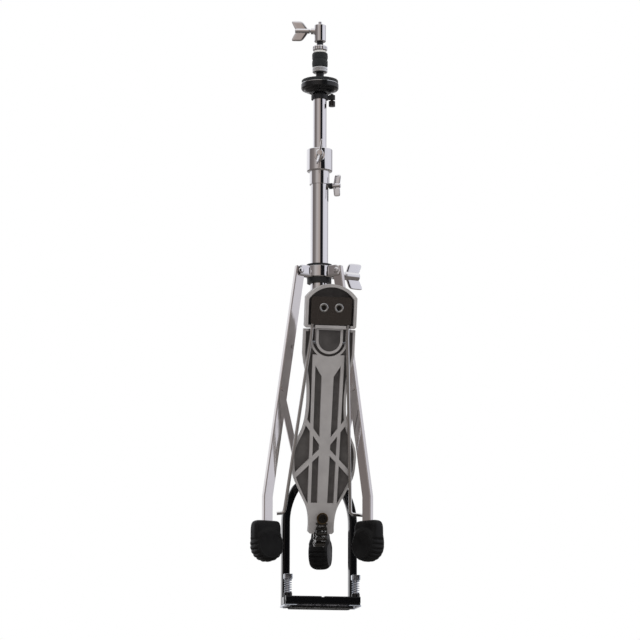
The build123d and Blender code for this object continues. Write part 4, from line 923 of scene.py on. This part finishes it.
# the studio's walls: degrees from the heading WALL_START round to the camera's right, and the
# colour there, where a heading is atan2(x, y)
WALL_START = 170
WALLS = [(-180, 1.00, 1.00, 1.02), (-128, 0.90, 0.90, 0.95), (-114, 0.16, 0.14, 0.14),
         (-75, 0.24, 0.215, 0.21), (-52, 0.52, 0.49, 0.48), (-30, 0.46, 0.41, 0.39),
         (-11, 0.40, 0.34, 0.31), (-6, 0.01, 0.01, 0.012), (24, 0.01, 0.01, 0.012),
         (30, 0.74, 0.74, 0.80), (70, 0.80, 0.80, 0.87), (104, 0.74, 0.74, 0.80),
         (114, 0.30, 0.28, 0.29), (140, 0.88, 0.88, 0.92)]
FLOOR_GLOW = (0.16, 0.145, 0.135, 1)
CEILING_GLOW = (0.95, 0.95, 0.97, 1)
AMBIENT = (0.52, 0.52, 0.53, 1)

world = bpy.data.worlds.new("studio")
bpy.context.scene.world = world
world.use_nodes = True
tree = world.node_tree
place = add_node(tree, "ShaderNodeTexCoord")
axes = add_node(tree, "ShaderNodeSeparateXYZ", [(0, place.outputs["Generated"])])
turn = add_node(tree, "ShaderNodeMath", [(0, axes.outputs["X"]), (1, axes.outputs["Y"])],
                operation="ARCTAN2")
share = add_node(tree, "ShaderNodeMapRange", [("Value", turn.outputs[0])],
                 {"From Min": -math.pi, "From Max": math.pi})
panels = add_node(tree, "ShaderNodeValToRGB", [(0, share.outputs[0])])
stops = sorted((((WALL_START - angle + 180) % 360) / 360, (r, g, b, 1))
               for angle, r, g, b in WALLS)
ramp = panels.color_ramp
while len(ramp.elements) < len(stops) + 2:
    ramp.elements.new(0.5)
edge = tuple((np.array(stops[0][1]) + np.array(stops[-1][1])) / 2)
for element, (at, colour) in zip(ramp.elements, [(0.0, edge), *stops, (1.0, edge)]):
    element.position = at
    element.color = colour
below = add_node(tree, "ShaderNodeMapRange", [("Value", axes.outputs["Z"])],
                 {"From Min": -0.04, "From Max": -0.30})
above = add_node(tree, "ShaderNodeMapRange", [("Value", axes.outputs["Z"])],
                 {"From Min": 0.45, "From Max": 0.80})
low_wall = add_node(tree, "ShaderNodeMix", [("Factor", below.outputs[0])], data_type="RGBA")
tree.links.new(panels.outputs["Color"], low_wall.inputs[6])
low_wall.inputs[7].default_value = FLOOR_GLOW
room = add_node(tree, "ShaderNodeMix", [("Factor", above.outputs[0])], data_type="RGBA")
tree.links.new(low_wall.outputs[2], room.inputs[6])
room.inputs[7].default_value = CEILING_GLOW
ray = add_node(tree, "ShaderNodeLightPath")
soft = add_node(tree, "ShaderNodeMix", [("Factor", ray.outputs["Is Diffuse Ray"])],
                data_type="RGBA")
tree.links.new(room.outputs[2], soft.inputs[6])
soft.inputs[7].default_value = AMBIENT
seen = add_node(tree, "ShaderNodeMix", [("Factor", ray.outputs["Is Camera Ray"])],
                data_type="RGBA")
tree.links.new(soft.outputs[2], seen.inputs[6])
seen.inputs[7].default_value = (1, 1, 1, 1)
tree.links.new(seen.outputs[2], tree.nodes["Background"].inputs["Color"])

LAMPS = [("key", (-1.7, -2.2, 2.0), 1.4, 34.0), ("fill", (2.1, -2.0, 1.2), 1.4, 18.0),
         ("rear", (0.4, 2.4, 2.2), 1.8, 24.0)]
for name, spot, size, power in LAMPS:
    lamp = bpy.data.lights.new(name, "AREA")
    lamp.shape = "SQUARE"
    lamp.size = size
    lamp.energy = power
    holder = bpy.data.objects.new(name, lamp)
    holder.location = spot
    holder.rotation_euler = (CAMERA_TARGET - Vector(spot)).to_track_quat("-Z", "Y").to_euler()
    holder.visible_glossy = False
    bpy.context.scene.collection.objects.link(holder)

lens = bpy.data.cameras.new("camera")
lens.lens = CAMERA_LENS
lens.sensor_width = CAMERA_SENSOR
lens.shift_x, lens.shift_y = CAMERA_SHIFT
lens.clip_end = 50
camera = bpy.data.objects.new("camera", lens)
across, rise = math.radians(CAMERA_AZIMUTH), math.radians(CAMERA_ELEVATION)
look = Vector((-math.sin(across) * math.cos(rise), math.cos(across) * math.cos(rise),
               -math.sin(rise)))
camera.location = CAMERA_TARGET - look * CAMERA_DISTANCE
camera.rotation_euler = look.to_track_quat("-Z", "Y").to_euler()
camera.rotation_euler.rotate_axis("Z", math.radians(CAMERA_ROLL))
bpy.context.scene.collection.objects.link(camera)
bpy.context.scene.camera = camera
bpy.context.scene.view_settings.view_transform = "Standard"
